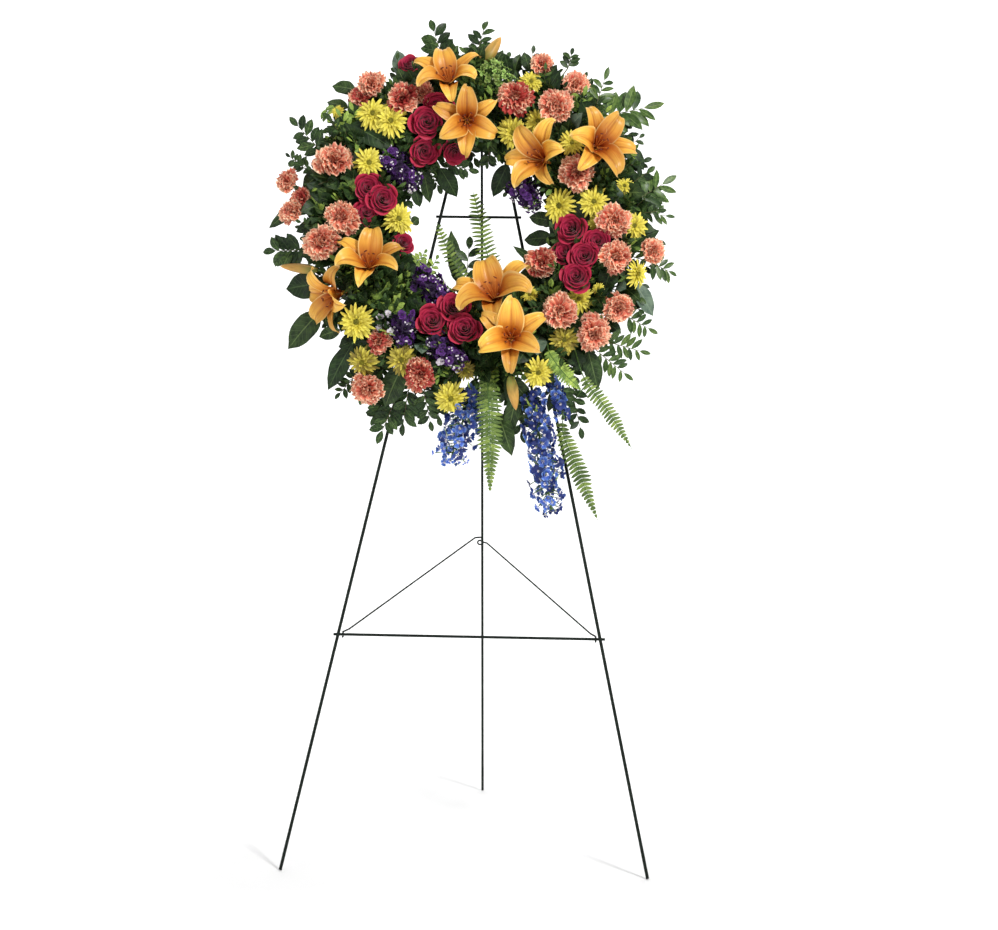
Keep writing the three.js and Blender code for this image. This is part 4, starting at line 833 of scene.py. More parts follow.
# For each kind: the neck's place in radii, the heads' height above the foam, how far up the
# stem forks, the petals' tones on most heads, and the darker tones that paint shade on heads
# that sit deep among the others
HEADS = {
    "carnation": (carnation, -0.72, 60, 0.0, (0.4, 1.0), (0.1, 0.8)),
    "rose": (rose, -0.8, 62, 0.0, (), ()),
    "mum": (mum, -0.3, 52, 9.0, (0.5, 1.0), (0.12, 0.6)),
}

# Heads that sit deep among the others: their petals take the darker tones, a painted shade
PAINTED_SHADE_HEADS = [(363, 362), (402, 360), (466, 370), (564, 340), (541, 262), (379, 341), (420, 375),
          (402, 99), (360, 97), (301, 199), (515, 97)]


def spray(node, heads):
    """Heads of one kind, the first word of the node's name, on one forking stem."""
    rng = random.Random(node)
    kind = next(kind for kind in HEADS if node.startswith(kind))
    make, under, lift, raised, lit, shade = HEADS[kind]
    petal = kind + "_petal"
    names = [petal, "stem_green", "lily_leaf"] + (["mum_eye"] if kind == "mum" else [])
    piece = Piece(node + "_flowers", *names)
    necks = []
    for px, py, radius, *rest in heads:
        extra, look_x, look_y = (rest + [0, 0, 0])[:3]
        p = place((px, py), lift + extra)
        axis = facing(p, (look_x, look_y))
        at = pose(p, axis, px)
        # Heads that sit deep among the others get the darker tones, a painted shade
        make(piece, at, radius, rng, *(shade if (px, py) in PAINTED_SHADE_HEADS else lit))
        neck = posed(at, vec(0, 0, under * radius))
        necks.append((neck, axis))
        HEAD_SPACES.append((p, axis, radius, False))
        for k in range(2):
            a = rng.uniform(0, ANY_TURN)
            out = posed((at[0], 0 * p), polar(1, a, 0.1))
            lance_leaf(piece, neck - rng.uniform(4, 12) * axis, unit(out), axis,
                       rng.uniform(0.9, 1.3) * radius, 0.17 * radius, rng)
    stems(piece, necks, raised)
    piece.build(node)


def floret(piece, at, radius, petals, material, rng, layers, open_to, broad, ragged=0.0,
           bright=1.0):
    own = rng.random() * bright
    for layer in range(layers):
        for j in range(petals):
            size = radius * (1 - 0.32 * layer) * (1 - rng.uniform(0, ragged))
            tilt = rad(open_to - 30 * layer + 60 * rng.uniform(-ragged, ragged))
            t = np.linspace(0, 1, 4)
            lean = tilt * (0.55 + 0.5 * t)
            r = 0.05 * radius + size * np.cumsum(np.sin(lean)) / 4
            z = size * np.cumsum(np.cos(lean)) / 4
            half = broad * size * np.array([0.2, 0.7, 1.0, 0.55])
            v = np.linspace(-1, 1, 4)[None]
            ruffle = 0.07 * radius * np.sin(4 * v + rng.uniform(0, 6)) * t[:, None] ** 2
            fan(piece, at, 2 * math.pi * (j + 0.5 * layer) / petals + rng.uniform(-0.15, 0.15),
                np.stack([r, z], 1), half=half, cup=0.3, lift=ruffle, cols=3, material=material,
                tone=min(max(own + rng.uniform(-0.2, 0.2), 0.0), 1.0))


def flecks(piece, at, size, rng):
    """A few small pale buds in front of a floret."""
    for _ in range(3):
        a, r = rng.uniform(0, ANY_TURN), rng.uniform(0.1, 0.8) * size
        low = polar(r, a, 0.25 * size)
        top = low + vec(rng.uniform(-2, 2), rng.uniform(-2, 2), rng.uniform(3, 5))
        bud = posed(at, straight(low, top, 5))
        piece.tube(bud, [0.5, 1.5, 1.8, 1.3, 0.4], "stock_pale", rng.random())


# For each kind: the florets' radius, their spacing, and how far they stray from the surface
SPIKE_KINDS = {
    "stock": (9.5, 0.42, (0.62, 1.1)),
    "delphinium": (15.0, 0.46, (0.45, 1.14)),
    "filler": (8.0, 0.6, (0.74, 1.06)),
}


def spike(node, from_px, to_px, lift, radius, pale=()):
    """Florets round a stem, and loose pale ones where the pixels say."""
    rng = random.Random(node)
    kind = node.split("_")[0]
    start, end = place(from_px, lift), place(to_px, lift)
    axis = unit(end - start)
    reach = float(np.linalg.norm(end - start)) + 1.3 * radius
    at = pose(start - 0.65 * radius * axis, axis)

    def core(height):
        return posed(at, vec(0, 0, height))

    petal = kind + "_petal"
    names = [petal, "stem_green", "light_leaf"] + (["stock_pale"] if kind != "filler" else [])
    piece = Piece(node + "_flowers", *names)
    size, step, loose = SPIKE_KINDS[kind]
    count = int(2 * math.pi * radius * reach / (size * size * 4 * step))
    for i in range(count):
        t = (i + 0.5) / count
        if kind == "delphinium":
            swell = (0.72 + 0.42 * t) * (1 - 0.6 * max(0, (t - 0.84) / 0.16) ** 2)
        else:
            swell = min(1, 0.7 + 1.6 * t) * (1 - 0.4 * t**2)
        a = i * GOLDEN + rng.uniform(-0.3, 0.3)
        out = unit(polar(1, a, rng.uniform(-0.1, 0.4) + 0.75 * max(0, t - 0.6)))
        r = radius * swell * rng.uniform(*loose)
        small = size * (1 - 0.4 * max(0, (t - 0.65) / 0.35)) * rng.uniform(0.85, 1.1)
        spot = polar(r, a, t * reach) - out * 0.55 * small
        facing_out = posed((at[0], np.zeros(3)), out)
        head = pose(posed(at, spot), facing_out, rng.uniform(0, 6))
        root = core(max(t * reach - 0.35 * r, 0))
        stalk = smooth([root, 0.5 * (root + head[1]) - axis, head[1]], 5)
        piece.tube(stalk, 0.9, "stem_green", 0.5, 4)
        if kind == "stock":
            floret(piece, head, small, 5, petal, rng, 3, 84, 0.52, 0.35)
            if rng.random() < 0.2:
                flecks(piece, head, small, rng)
        elif kind == "delphinium":
            open_to = rng.uniform(40, 104)
            floret(piece, head, small, 5, petal, rng, 1, open_to, 0.42, 0.35, 0.45 + 0.6 * t)
            floret(piece, head, small * 0.3, 4, "stock_pale", rng, 1, 26, 0.5)
        else:
            floret(piece, head, small, 4, petal, rng, 2, 66, 0.42, 0.4)
        if i % 5 == 0:
            lance_leaf(piece, root, facing_out, axis, 1.1 * radius, 2.4, rng, "light_leaf")
    for spot_px in pale:
        p = place(spot_px, lift + rng.uniform(-4, 10))
        axis_out = facing(p, (rng.uniform(-0.4, 0.4), rng.uniform(-0.4, 0.4)))
        head = pose(p, axis_out)
        floret(piece, head, rng.uniform(8, 10.5), 5, "stock_pale", rng, 3, 80, 0.52, 0.35)
        root = core(reach * rng.uniform(0.3, 0.6))
        piece.tube(smooth([root, 0.5 * (root + p) - 8 * axis_out, p], 6), 0.9, "stem_green", 0.5, 4)
    middle = smooth([core(-6), core(reach * 0.5), core(reach * 0.97)], 8)
    piece.tube(middle, np.linspace(2.6, 1.2, 8), "stem_green")
    stems(piece, [(core(-6), axis)])
    BALLS.extend((start + (end - start) * t, 0.95 * radius) for t in np.linspace(0, 1, 5))
    piece.build(node)


# Fronds and leaves


def fern(node, foot, fronds, green="fern_leaf"):
    """Fronds from one foot. Each has its path in pixels and heights, the point its leaflets
    begin at, their length and number of pairs, the share of the rib they cover, and how blunt
    the tip is."""
    rng = random.Random(node)
    piece = Piece(node + "_fronds", green, "stem_green")
    low, knee = foot_below(on_plane(foot, FOAM_TOP))
    for points, begin, half, pairs, fill_share, blunt in fronds:
        path = [knee] + [on_plane(p[:2], p[2]) for p in points]
        bare = length_of(smooth(path[: begin + 2], 40))
        rib = smooth(path, 90)
        share = bare / length_of(rib)
        piece.tube(smooth([low] + path, 40), np.linspace(1.6, 0.5, 40), "stem_green", 0.5, 5)
        many = 2 * pairs
        widest = min(3.6, 0.5 * (1 - share) * length_of(rib) / many * fill_share)
        width = widest * np.array([0.86, 1.0, 0.9, 0.78, 0.58, 0.12])
        along = np.gradient(rib, axis=0)
        for i in range(many):
            t = (i + 0.5) / many
            wide = half * min(1, 0.55 + 2.2 * t, 2.2 * (1 - t) + blunt)
            k = (share + (1 - share) * (i + 0.3) / (many + 0.6)) * (len(rib) - 1)
            k0 = int(k)
            spot = rib[k0] + (rib[min(k0 + 1, len(rib) - 1)] - rib[k0]) * (k - k0)
            heading = unit(along[k0])
            side = unit(np.cross(heading, vec(0, 0, 1)))
            over = np.cross(side, heading)
            for s in (-1, 1):
                to = unit(side * s + heading * (0.14 + 0.3 * t) + over * rng.uniform(-0.04, 0.12))
                size = wide * 1.04 * rng.uniform(0.93, 1.04)
                ribbon(piece, arc(spot, to, over, size, rng.uniform(0.05, 0.45), 6), width,
                       over, green, rng.random(), cols=2, fold=0.16)
        tip = arc(rib[-8], unit(along[-4]), vec(0, 0, 1), half * 0.5, 0.1, 5)
        ribbon(piece, tip, [1.4, 1.6, 1.3, 0.8, 0.15], vec(0, 0, 1), green, 0.7, cols=2)
    piece.build(node)


def broad_leaf(piece, path, half, up, material, rng, stalk=None):
    width = half * np.sin(math.pi * np.linspace(0, 1, 11) ** 0.8) ** 0.72
    width[0], width[-1] = 0.8, 0.2
    width[-2] *= 0.8
    ribbon(piece, smooth(path, 11), width, up, material, rng.random(), cols=6, fold=0.16, cup=0.12,
           wave=0.07, waves=2.2, phase=rng.uniform(0, 6))
    if stalk is not None:
        piece.tube(smooth(stalk, 8), 1.1, "stem_green", 0.4, 5)


def leafy_twig(piece, path, leaf, pairs, up, rng, material="small_leaf", begin=0.12, wide=0.25,
               stem="stem_woody"):
    """Small oval leaves along a twig, and one at its tip."""
    twig = smooth(path, 24)
    piece.tube(twig[1::2], np.linspace(1.0, 0.5, 12), stem, 0.5, 4)
    along = np.gradient(twig, axis=0)
    for i in range(2 * pairs + 1):
        last = i == 2 * pairs
        t = 1.0 if last else begin + (0.97 - begin) * i / (2 * pairs)
        k = min(int(t * 23), 23)
        heading = unit(along[k])
        side = unit(np.cross(heading, up)) * (1 if i % 2 else -1)
        over = unit(np.cross(np.cross(heading, up), heading))
        size = leaf * (1 - 0.28 * t) * rng.uniform(0.85, 1.1)
        to = heading
        if not last:
            to = side * 0.95 + heading * rng.uniform(0.45, 0.8)
            to = unit(to + over * rng.uniform(-0.1, 0.35))
        tilt = unit(over + side * rng.uniform(-0.3, 0.3) + heading * rng.uniform(-0.2, 0.2))
        width = wide * size * np.array([0.12, 0.72, 1.0, 0.98, 0.7, 0.06])
        blade = arc(twig[k], to, over, size, rng.uniform(-0.05, 0.35), 6)
        ribbon(piece, blade, width, tilt, material, rng.random(), cols=2, fold=0.2)


def clear_of_heads(points):
    """True where none of the points is inside a bloom."""
    for middle, radius in BALLS:
        if np.any(np.linalg.norm(points - middle, axis=1) < radius):
            return False
    for middle, axis, radius, is_lily in HEAD_SPACES:
        d = points - middle
        h = d @ axis
        rho = np.linalg.norm(d - h[:, None] * axis, axis=1)
        if is_lily:
            # A lily is a wide cone over its neck, and any other head half a ball
            if np.any((rho < 0.92 * radius) & (h > 0.42 * rho - 8)):
                return False
        elif np.any((rho < 0.93 * radius) & (h > -0.35 * radius)):
            return False
    return True


SECTORS = ("right", "upper_right", "top", "upper_left", "left", "lower_left", "bottom",
           "lower_right")
SECTOR = 2 * math.pi / len(SECTORS)
# The share of the way from the ring's middle to the foot of either wall that lies on top
TOP_SHARE = 0.62


def down_wall(q):
    """How far down a wall q is: 0 on the top, and 1 at the lowest place that leaves grow from."""
    return max(0.0, (abs(q) - TOP_SHARE) / 0.38)


def foam_skin(q, a):
    """A place on the foam and the way out of it: q runs from the inner wall to the outer."""
    if abs(q) < TOP_SHARE:
        r = RING_R + q / TOP_SHARE * (FOAM_HALF_WIDTH - 6)
        return polar(r, a, FOAM_TOP - 1), q * 1.1
    side = 1 if q > 0 else -1
    deep = down_wall(q)
    r = OUTER - 1 if side > 0 else INNER + 1
    return polar(r, a, FOAM_TOP - FOAM_CHAMFER - deep * 24), side * (0.95 + 0.55 * deep)


def fill(piece, rng, middle, count, make):
    """Puts up to count shoots in a sector where they miss the blooms."""
    done = 0
    for _ in range(count * 6):
        if done == count:
            break
        a = middle + rng.uniform(-0.5, 0.5) * SECTOR
        q = rng.uniform(-1, 1)
        root, lean = foam_skin(q, a)
        out, tangent = polar(1, a, 0), vec(-math.sin(a), math.cos(a), 0)
        heading = out * math.sin(lean) + vec(0, 0, math.cos(lean))
        heading = heading + tangent * rng.uniform(-0.8, 0.8)
        heading = unit(heading + out * rng.uniform(-0.4, 0.4))
        if make(piece, rng, root, heading, out, q):
            done += 1


def within(points, inner=128, outer=322):
    """True where all the points lie between the two radii, off the legs and not above the blooms."""
    r = np.hypot(points[:, 0], points[:, 1])
    return bool(np.all((r > inner) & (r < outer) & (points[:, 2] > 9) & (points[:, 2] < 132)))


def sway(rng, side, z):
    return vec(rng.uniform(-side, side), rng.uniform(-side, side), z)


def fill_leaf(piece, rng, root, heading, out, q):
    """A broad leaf on a stalk of its own."""
    stalk = rng.uniform(12, 34)
    size = rng.uniform(44, 76)
    start = root + heading * stalk
    spread = vec(rng.uniform(-0.5, 0.5), rng.uniform(-0.5, 0.5), rng.uniform(-0.15, 0.3))
    flat = unit(heading * 0.55 + out * (0.6 if q > 0 else -0.6) * abs(q) + vec(0, 0, 0.12) + spread)
    path = np.stack([start, start + flat * size * 0.5 + vec(0, 0, size * 0.07),
                     start + flat * size - vec(0, 0, size * 0.08)])
    if not within(path) or not clear_of_heads(smooth(path, 6)):
        return False
    up = unit(facing(path[1]) + sway(rng, 0.35, 0.3))
    looks = "grey_leaf" if rng.random() < 0.06 else "broad_leaf"
    broad_leaf(piece, path, size * rng.uniform(0.24, 0.31), up, looks, rng,
               [root, root + heading * stalk * 0.6, start, path[1] * 0.15 + start * 0.85])
    return True


# Kinds of twig: the highest draw for each, its leaves' length and looks, their width, and its bark
TWIGS = ((0.62, (18, 27), "small_leaf", 0.25, "stem_woody"),
         (0.8, (20, 28), "light_leaf", 0.2, "stem_green"),
         (1.0, (18, 24), "lily_leaf", 0.2, "stem_green"))


def fill_twig(piece, rng, root, heading, out, q):
    size = rng.uniform(58, 104)
    flat = unit(heading + out * (0.5 if q > 0 else -0.5) * abs(q) + sway(rng, 0.4, 0.1))
    path = np.stack([root, root + heading * size * 0.45,
                     root + heading * size * 0.4 + flat * size * 0.6])
    line = smooth(path, 8)
    if not within(line[3:], 138, 316) or not clear_of_heads(line[2:]):
        return False
    draw = rng.random()
    up = unit(facing(path[1]) + sway(rng, 0.3, 0.2))
    _, leaf, looks, wide, stem = next(twig for twig in TWIGS if draw < twig[0])
    leafy_twig(piece, path, rng.uniform(*leaf), 5, up, rng, looks, 0.3, wide, stem)
    return True


def fill_floor(piece, rng, root, heading, out, q):
    """A small leaf that lies close over the foam."""
    size = rng.uniform(22, 38)
    a = rng.uniform(0, ANY_TURN)
    tangent = np.cross(vec(0, 0, 1), out)
    steep = down_wall(q)
    normal = unit(out * (1 if q > 0 else -1) * 2.2 * steep + vec(0, 0, 1 - 0.6 * steep))
    across = unit(np.cross(normal, tangent))
    flat = unit(np.cross(normal, tangent * math.cos(a) + across * math.sin(a)))
    start = root + normal * rng.uniform(3, 9)
    path = np.stack([start, start + flat * size * 0.5 + normal * 5,
                     start + flat * size + normal * rng.uniform(1, 7)])
    up = unit(normal + flat * rng.uniform(-0.4, 0.4))
    kind = rng.choice(("broad_leaf", "small_leaf", "small_leaf", "lily_leaf"))
    t = np.linspace(0, 1, 6)
    width = size * rng.uniform(0.2, 0.27) * np.sin(math.pi * (t * 0.92 + 0.04)) ** 0.8
    ribbon(piece, smooth(path, 6), width, up, kind, rng.uniform(0, 0.8), cols=2, fold=0.15)
    return True


def fill_fringe(piece, rng, root, heading, out, q):
    """Leaves and twigs that reach past the foam's edge, over the ring's rim or into its middle."""
    outer = q > 0
    a = math.atan2(root[1], root[0])
    tangent = vec(-math.sin(a), math.cos(a), 0)
    root = polar(OUTER - 1 if outer else INNER + 1, a, rng.uniform(14, 50))
    heading = unit(out * (1 if outer else -1) + tangent * rng.uniform(-0.75, 0.75)
                   + vec(0, 0, rng.uniform(0.02, 0.55)))
    size = rng.uniform(46, 92) if outer else rng.uniform(34, 62)
    path = np.stack([root, root + heading * size * 0.5 + vec(0, 0, 4),
                     root + heading * size - vec(0, 0, rng.uniform(0, 9))])
    line = smooth(path, 8)
    if not within(line, *((118, 342) if outer else (122, 322))) or not clear_of_heads(line[2:]):
        return False
    up = unit(facing(path[1]) + sway(rng, 0.4, 0.3))
    if rng.random() < 0.45:
        start = root + heading * size * 0.3
        blade = np.stack([start, start + heading * size * 0.4 + vec(0, 0, 4), path[2]])
        broad_leaf(piece, blade, size * rng.uniform(0.17, 0.24), up, "broad_leaf", rng,
                   [root, (root + start) / 2 + vec(0, 0, 1), start])
    else:
        leafy_twig(piece, path, rng.uniform(20, 29), 4, up, rng, begin=0.22)
    return True


# The blooms, by their pixels in the view

lily_stem("lily_stem_top",
          [(450, 85, 80, 101, -0.1, 0.5), (467, 120, 76, 93, 0.05, 0, 8)],
          [((484, 62), (501, 37), (42, 52), 11)])
lily_stem("lily_stem_right",
          [(546, 161, 84, 122, -0.4, 0.25, 6), (595, 148, 84, 55, 0.3, 0.05)], [])
lily_stem("lily_stem_left",
          [(369, 270, 82, 82, 0, 0.55, 6), (341, 293, 80, 100, -1.1, -0.5, -22)],
          [((318, 270), (280, 266), (34, 40), 9)])
lily_stem("lily_stem_bottom",
          [(496, 302, 98, 107, -0.15, 0.28, -6), (511, 339, 84, 87, 0, 0.1, 14)],
          [((510, 376), (516, 410), (72, 60), 10)])

# Each head: its pixel, its radius, its height over others of its kind, and how it looks aside
SPRAYS = {
    "roses_upper_left": [(427, 122, 29, 6), (424, 151, 27, 2), (439, 107, 26, -4),
        (456, 151, 25, -6, 0, -0.3)],
    "rose_top": [(409, 64, 20, -14)],
    "roses_left": [(368, 188, 26, 2), (383, 199, 27, 8), (366, 212, 22, -4)],
    "rose_left_inner": [(403, 243, 21, -6)],
    "roses_bottom": [(454, 307, 29, 6), (432, 321, 28, 0), (464, 329, 29, 8)],
    "roses_right": [(571, 229, 27, 0), (597, 242, 26, -2), (584, 256, 26, 6), (565, 252, 22, -12),
        (576, 277, 28, 8)],
    "carnations_top_left": [(371, 84, 28, -6), (360, 97, 22, -12), (402, 99, 31, 4),
        (423, 92, 24, -10)],
    "carnation_left_upper": [(333, 160, 36, 2, 0.15, 0.55)],
    "carnations_left_edge": [(287, 182, 25, 0), (292, 211, 24, 0), (301, 199, 22, -10)],
    "carnations_left": [(342, 217, 32, -2), (322, 242, 35, 6)],
    "carnations_top_right": [(515, 97, 33, 4), (555, 106, 34, 8), (575, 84, 27, -8),
        (542, 64, 24, -10)],
    "carnation_right_upper": [(577, 173, 35, 12)],
    "carnations_right": [(614, 221, 32, 0), (617, 257, 31, 4), (653, 251, 25, 0)],
    "carnation_right_inner": [(541, 262, 31, -6)],
    "carnations_lower_right": [(559, 311, 33, 4), (594, 334, 34, 4), (619, 307, 31, -2)],
    "carnation_bottom": [(420, 375, 31, 4)],
    "carnations_lower_left": [(368, 389, 30, 0), (379, 341, 24, -10)],
    "mums_upper_left": [(373, 114, 33, 6), (391, 121, 34, 10), (369, 163, 32, 0),
        (338, 112, 16, -16)],
    "mum_left_inner": [(398, 219, 33, 6)],
    "mums_lower_left": [(357, 322, 37, 10), (363, 362, 31, 0)],
    "mum_lower_inner": [(402, 360, 31, -4)],
    "mums_bottom": [(451, 398, 33, 0), (466, 370, 22, -10)],
    "mums_bottom_right": [(538, 372, 31, 4), (564, 340, 30, -8), (530, 295, 19, -8),
        (579, 299, 29, -10), (598, 289, 14, -8)],
    "mums_right": [(560, 206, 34, 4), (594, 202, 31, 8), (600, 224, 26, -8), (634, 226, 28, -4),
        (637, 274, 28, 2, 0.9), (624, 186, 19, -4)],
    "mums_top_right": [(513, 133, 33, 0), (538, 121, 27, -6), (531, 82, 25, -6),
        (572, 143, 26, 14)],
}
for node, heads in SPRAYS.items():
    spray(node, heads)

# Each bunch: the pixels of its two ends, its height over the foam, its radius, and the pixels
# of loose pale florets
SPIKES = [
    ("stock_upper_left", (393, 160), (410, 180), 46, 29),
    ("stock_upper_right", (521, 187), (531, 200), 46, 30),
    ("stock_centre", (423, 283), (437, 295), 44, 35, [(418, 292), (428, 290)]),
    ("stock_lower_left", (404, 322), (404, 338), 48, 26,
     [(388, 314), (381, 318), (386, 325), (390, 332), (379, 326), (408, 326)]),
    ("stock_bottom", (438, 345), (458, 360), 54, 26,
     [(443, 349), (447, 357), (441, 361), (450, 364)]),
    ("delphinium_left", (469, 402), (453, 452), 34, 36),
    ("delphinium_right", (534, 403), (550, 502), 30, 34),
    ("delphinium_upper", (554, 384), (563, 414), 34, 17),
    ("filler_top", (492, 76), (503, 82), 40, 33),
]
for spec in SPIKES:
    spike(*spec)

fern("fern_hole", (497, 314), [
    ([(495, 282, 58), (484, 243, 47), (479, 218, 41), (473, 191, 34)], 0, 22, 11, 0.66, 0.34),
    ([(470, 288, 60), (454, 262, 52), (444, 242, 48), (437, 222, 42)], 0, 15, 9, 0.66, 0.34),
])
fern("fern_bottom", (487, 352), [
    ([(487, 372, 104), (490, 430, 92), (490, 494, 70)], 0, 25, 15, 1.0, 0.08),
])
fern("fern_bright", (548, 338), [
    ([(549, 352, 110), (563, 372, 108), (582, 391, 92)], 0, 17, 9, 1.1, 0.1),
], "light_leaf")
fern("fern_lower_right", (600, 358), [
    ([(584, 378, 78), (606, 408, 70), (632, 449, 60)], 0, 16, 11, 0.86, 0.08),
    ([(592, 372, 58), (576, 398, 40), (562, 424, 22), (578, 470, 20), (598, 521, 18)],
     2, 19, 12, 0.96, 0.08),
])

# Single leaves, and sprigs of them: pixels of base and tip, half width, heights of base and tip
# over the foam, and a sprig's pairs of leaves
LEAVES = [
    ("leaf", (356, 90), (332, 86), 16, 10, 24), ("leaf", (350, 124), (394, 149), 19, 52, 40),
    ("leaf", (396, 136), (413, 160), 13, 34, 36), ("leaf", (322, 172), (302, 190), 18, 22, 18),
    ("leaf", (296, 208), (269, 228), 12, 10, 0), ("leaf", (316, 222), (296, 232), 11, 10, 10),
    ("grey", (403, 78), (397, 50), 14, 14, 22), ("leaf", (348, 108), (327, 102), 11, 14, 10),
    ("leaf", (424, 172), (430, 203), 12, 20, 6), ("leaf", (415, 188), (420, 207), 11, 6, 2),
    ("leaf", (440, 168), (457, 197), 16, 22, 4), ("leaf", (508, 164), (493, 197), 15, 22, 4),
    ("leaf", (554, 222), (529, 217), 13, 26, 12), ("leaf", (552, 238), (524, 240), 15, 24, 12),
    ("leaf", (412, 224), (419, 218), 9, 16, 12), ("leaf", (458, 284), (451, 230), 14, 4, -8),
    ("leaf", (544, 270), (513, 246), 8, 14, 6), ("leaf", (324, 284), (286, 289), 24, 8, 8),
    ("leaf", (320, 312), (288, 349), 23, 20, 12), ("leaf", (340, 330), (319, 337), 12, 16, 12),
    ("leaf", (352, 344), (328, 390), 18, 26, 16), ("leaf", (402, 366), (385, 407), 21, 30, 20),
    ("leaf", (588, 350), (598, 390), 17, 26, 20), ("leaf", (574, 350), (584, 372), 12, 30, 28),
    ("grey", (636, 284), (653, 316), 16, 10, 6), ("leaf", (612, 266), (604, 291), 18, 34, 26),
    ("leaf", (628, 148), (644, 170), 16, 12, 8), ("leaf", (530, 72), (524, 52), 11, 16, 18),
    ("leaf", (534, 78), (540, 60), 11, 14, 16), ("leaf", (510, 378), (530, 402), 14, 30, 22),
    ("leaf", (498, 412), (512, 456), 17, 20, 8), ("leaf", (330, 128), (352, 140), 13, 30, 30),
    ("sprig", (445, 66), (431, 22), 22, 16, 30, 4), ("sprig", (474, 64), (486, 23), 17, 12, 26, 4),
    ("sprig", (602, 117), (658, 106), 26, 10, 20, 4),
    ("sprig", (594, 112), (607, 73), 17, 12, 18, 4), ("sprig", (568, 68), (573, 49), 13, -2, 6, 2),
    ("sprig", (634, 202), (672, 179), 22, 10, 20, 4),
    ("sprig", (636, 212), (672, 217), 13, 6, 10, 3),
    ("sprig", (650, 262), (677, 276), 18, 8, 10, 3), ("sprig", (626, 316), (656, 333), 17, 8, 8, 3),
    ("sprig", (608, 342), (649, 354), 18, 6, 6, 4), ("sprig", (598, 352), (631, 379), 17, 12, 6, 4),
    ("sprig", (320, 150), (292, 120), 19, 10, 14, 3),
    ("sprig", (304, 168), (286, 154), 12, 6, 8, 3), ("sprig", (302, 250), (265, 252), 21, 6, 12, 4),
    ("sprig", (396, 398), (378, 442), 21, 8, 2, 4), ("sprig", (424, 392), (432, 430), 17, 14, 4, 3),
    ("sprig", (446, 164), (476, 172), 15, 16, 8, 3),
    ("sprig", (466, 284), (470, 240), 19, 4, -4, 2),
    ("sprig", (572, 392), (582, 436), 15, 14, 4, 3),
    ("sprig", (408, 392), (402, 434), 19, 10, 2, 4),
    ("sprig", (436, 392), (440, 424), 15, 12, 4, 3), ("sprig", (372, 376), (360, 404), 15, 6, 4, 3),
    ("sprig", (560, 390), (572, 424), 15, 16, 8, 3),
    ("sprig", (428, 168), (441, 192), 15, 14, 6, 3),
    ("sprig", (640, 190), (664, 200), 18, 8, 12, 3),
    ("light", (316, 214), (313, 196), 14, 44, 50, 3),
    ("light", (350, 196), (347, 176), 13, 40, 46, 3),
    ("light", (388, 302), (378, 284), 16, 34, 40, 3),
    ("light", (402, 308), (408, 288), 14, 42, 48, 3),
    ("light", (326, 108), (330, 122), 12, 26, 30, 3),
    ("light", (428, 276), (438, 256), 10, 48, 44, 2),
    ("light", (384, 296), (396, 276), 10, 40, 46, 3),
    ("light", (394, 316), (400, 298), 10, 46, 56, 3),
    ("light", (412, 302), (416, 284), 9, 46, 50, 3),
    ("light", (386, 312), (390, 300), 9, 48, 58, 2),
    ("light", (400, 112), (386, 96), 13, 30, 36, 3), ("sprig", (520, 176), (508, 190), 13, 8, 2, 3),
    ("sprig", (489, 155), (487, 168), 12, 8, 2, 3), ("light", (414, 266), (427, 250), 9, 34, 40, 3),
    ("light", (420, 270), (431, 260), 9, 34, 38, 2), ("sprig", (516, 182), (504, 196), 11, 8, 2, 2),
    ("sprig", (384, 402), (372, 424), 15, 8, 2, 3), ("sprig", (352, 380), (336, 398), 12, 4, 2, 2),
    ("leaf", (376, 350), (350, 343), 11, 16, 12), ("leaf", (386, 366), (352, 376), 13, 12, 6),
    ("leaf", (388, 376), (396, 408), 12, 8, 2), ("sprig", (334, 304), (316, 322), 15, 8, 6, 3),
    ("sprig", (374, 366), (344, 384), 15, 6, 2, 3), ("leaf", (438, 176), (447, 188), 9, 20, 14),
    ("leaf", (506, 376), (522, 424), 13, 24, 14), ("leaf", (476, 378), (468, 414), 12, 20, 10),
    ("leaf", (520, 384), (506, 442), 14, 18, 6), ("leaf", (560, 384), (548, 412), 11, 20, 14),
    ("sprig", (480, 384), (476, 420), 16, 16, 6, 4),
    ("sprig", (512, 384), (524, 440), 18, 16, 4, 5),
]

# The loose leaves keep clear of the largest single leaves, too
for kind, base_px, tip_px, half, base_lift, tip_lift, *_ in LEAVES:
    if kind == "leaf" and half > 17:
        base, tip = place(base_px, base_lift), place(tip_px, tip_lift)
        for t in (0.3, 0.55, 0.8):
            BALLS.append((base + (tip - base) * t + vec(0, 0, half), 1.1 * half))


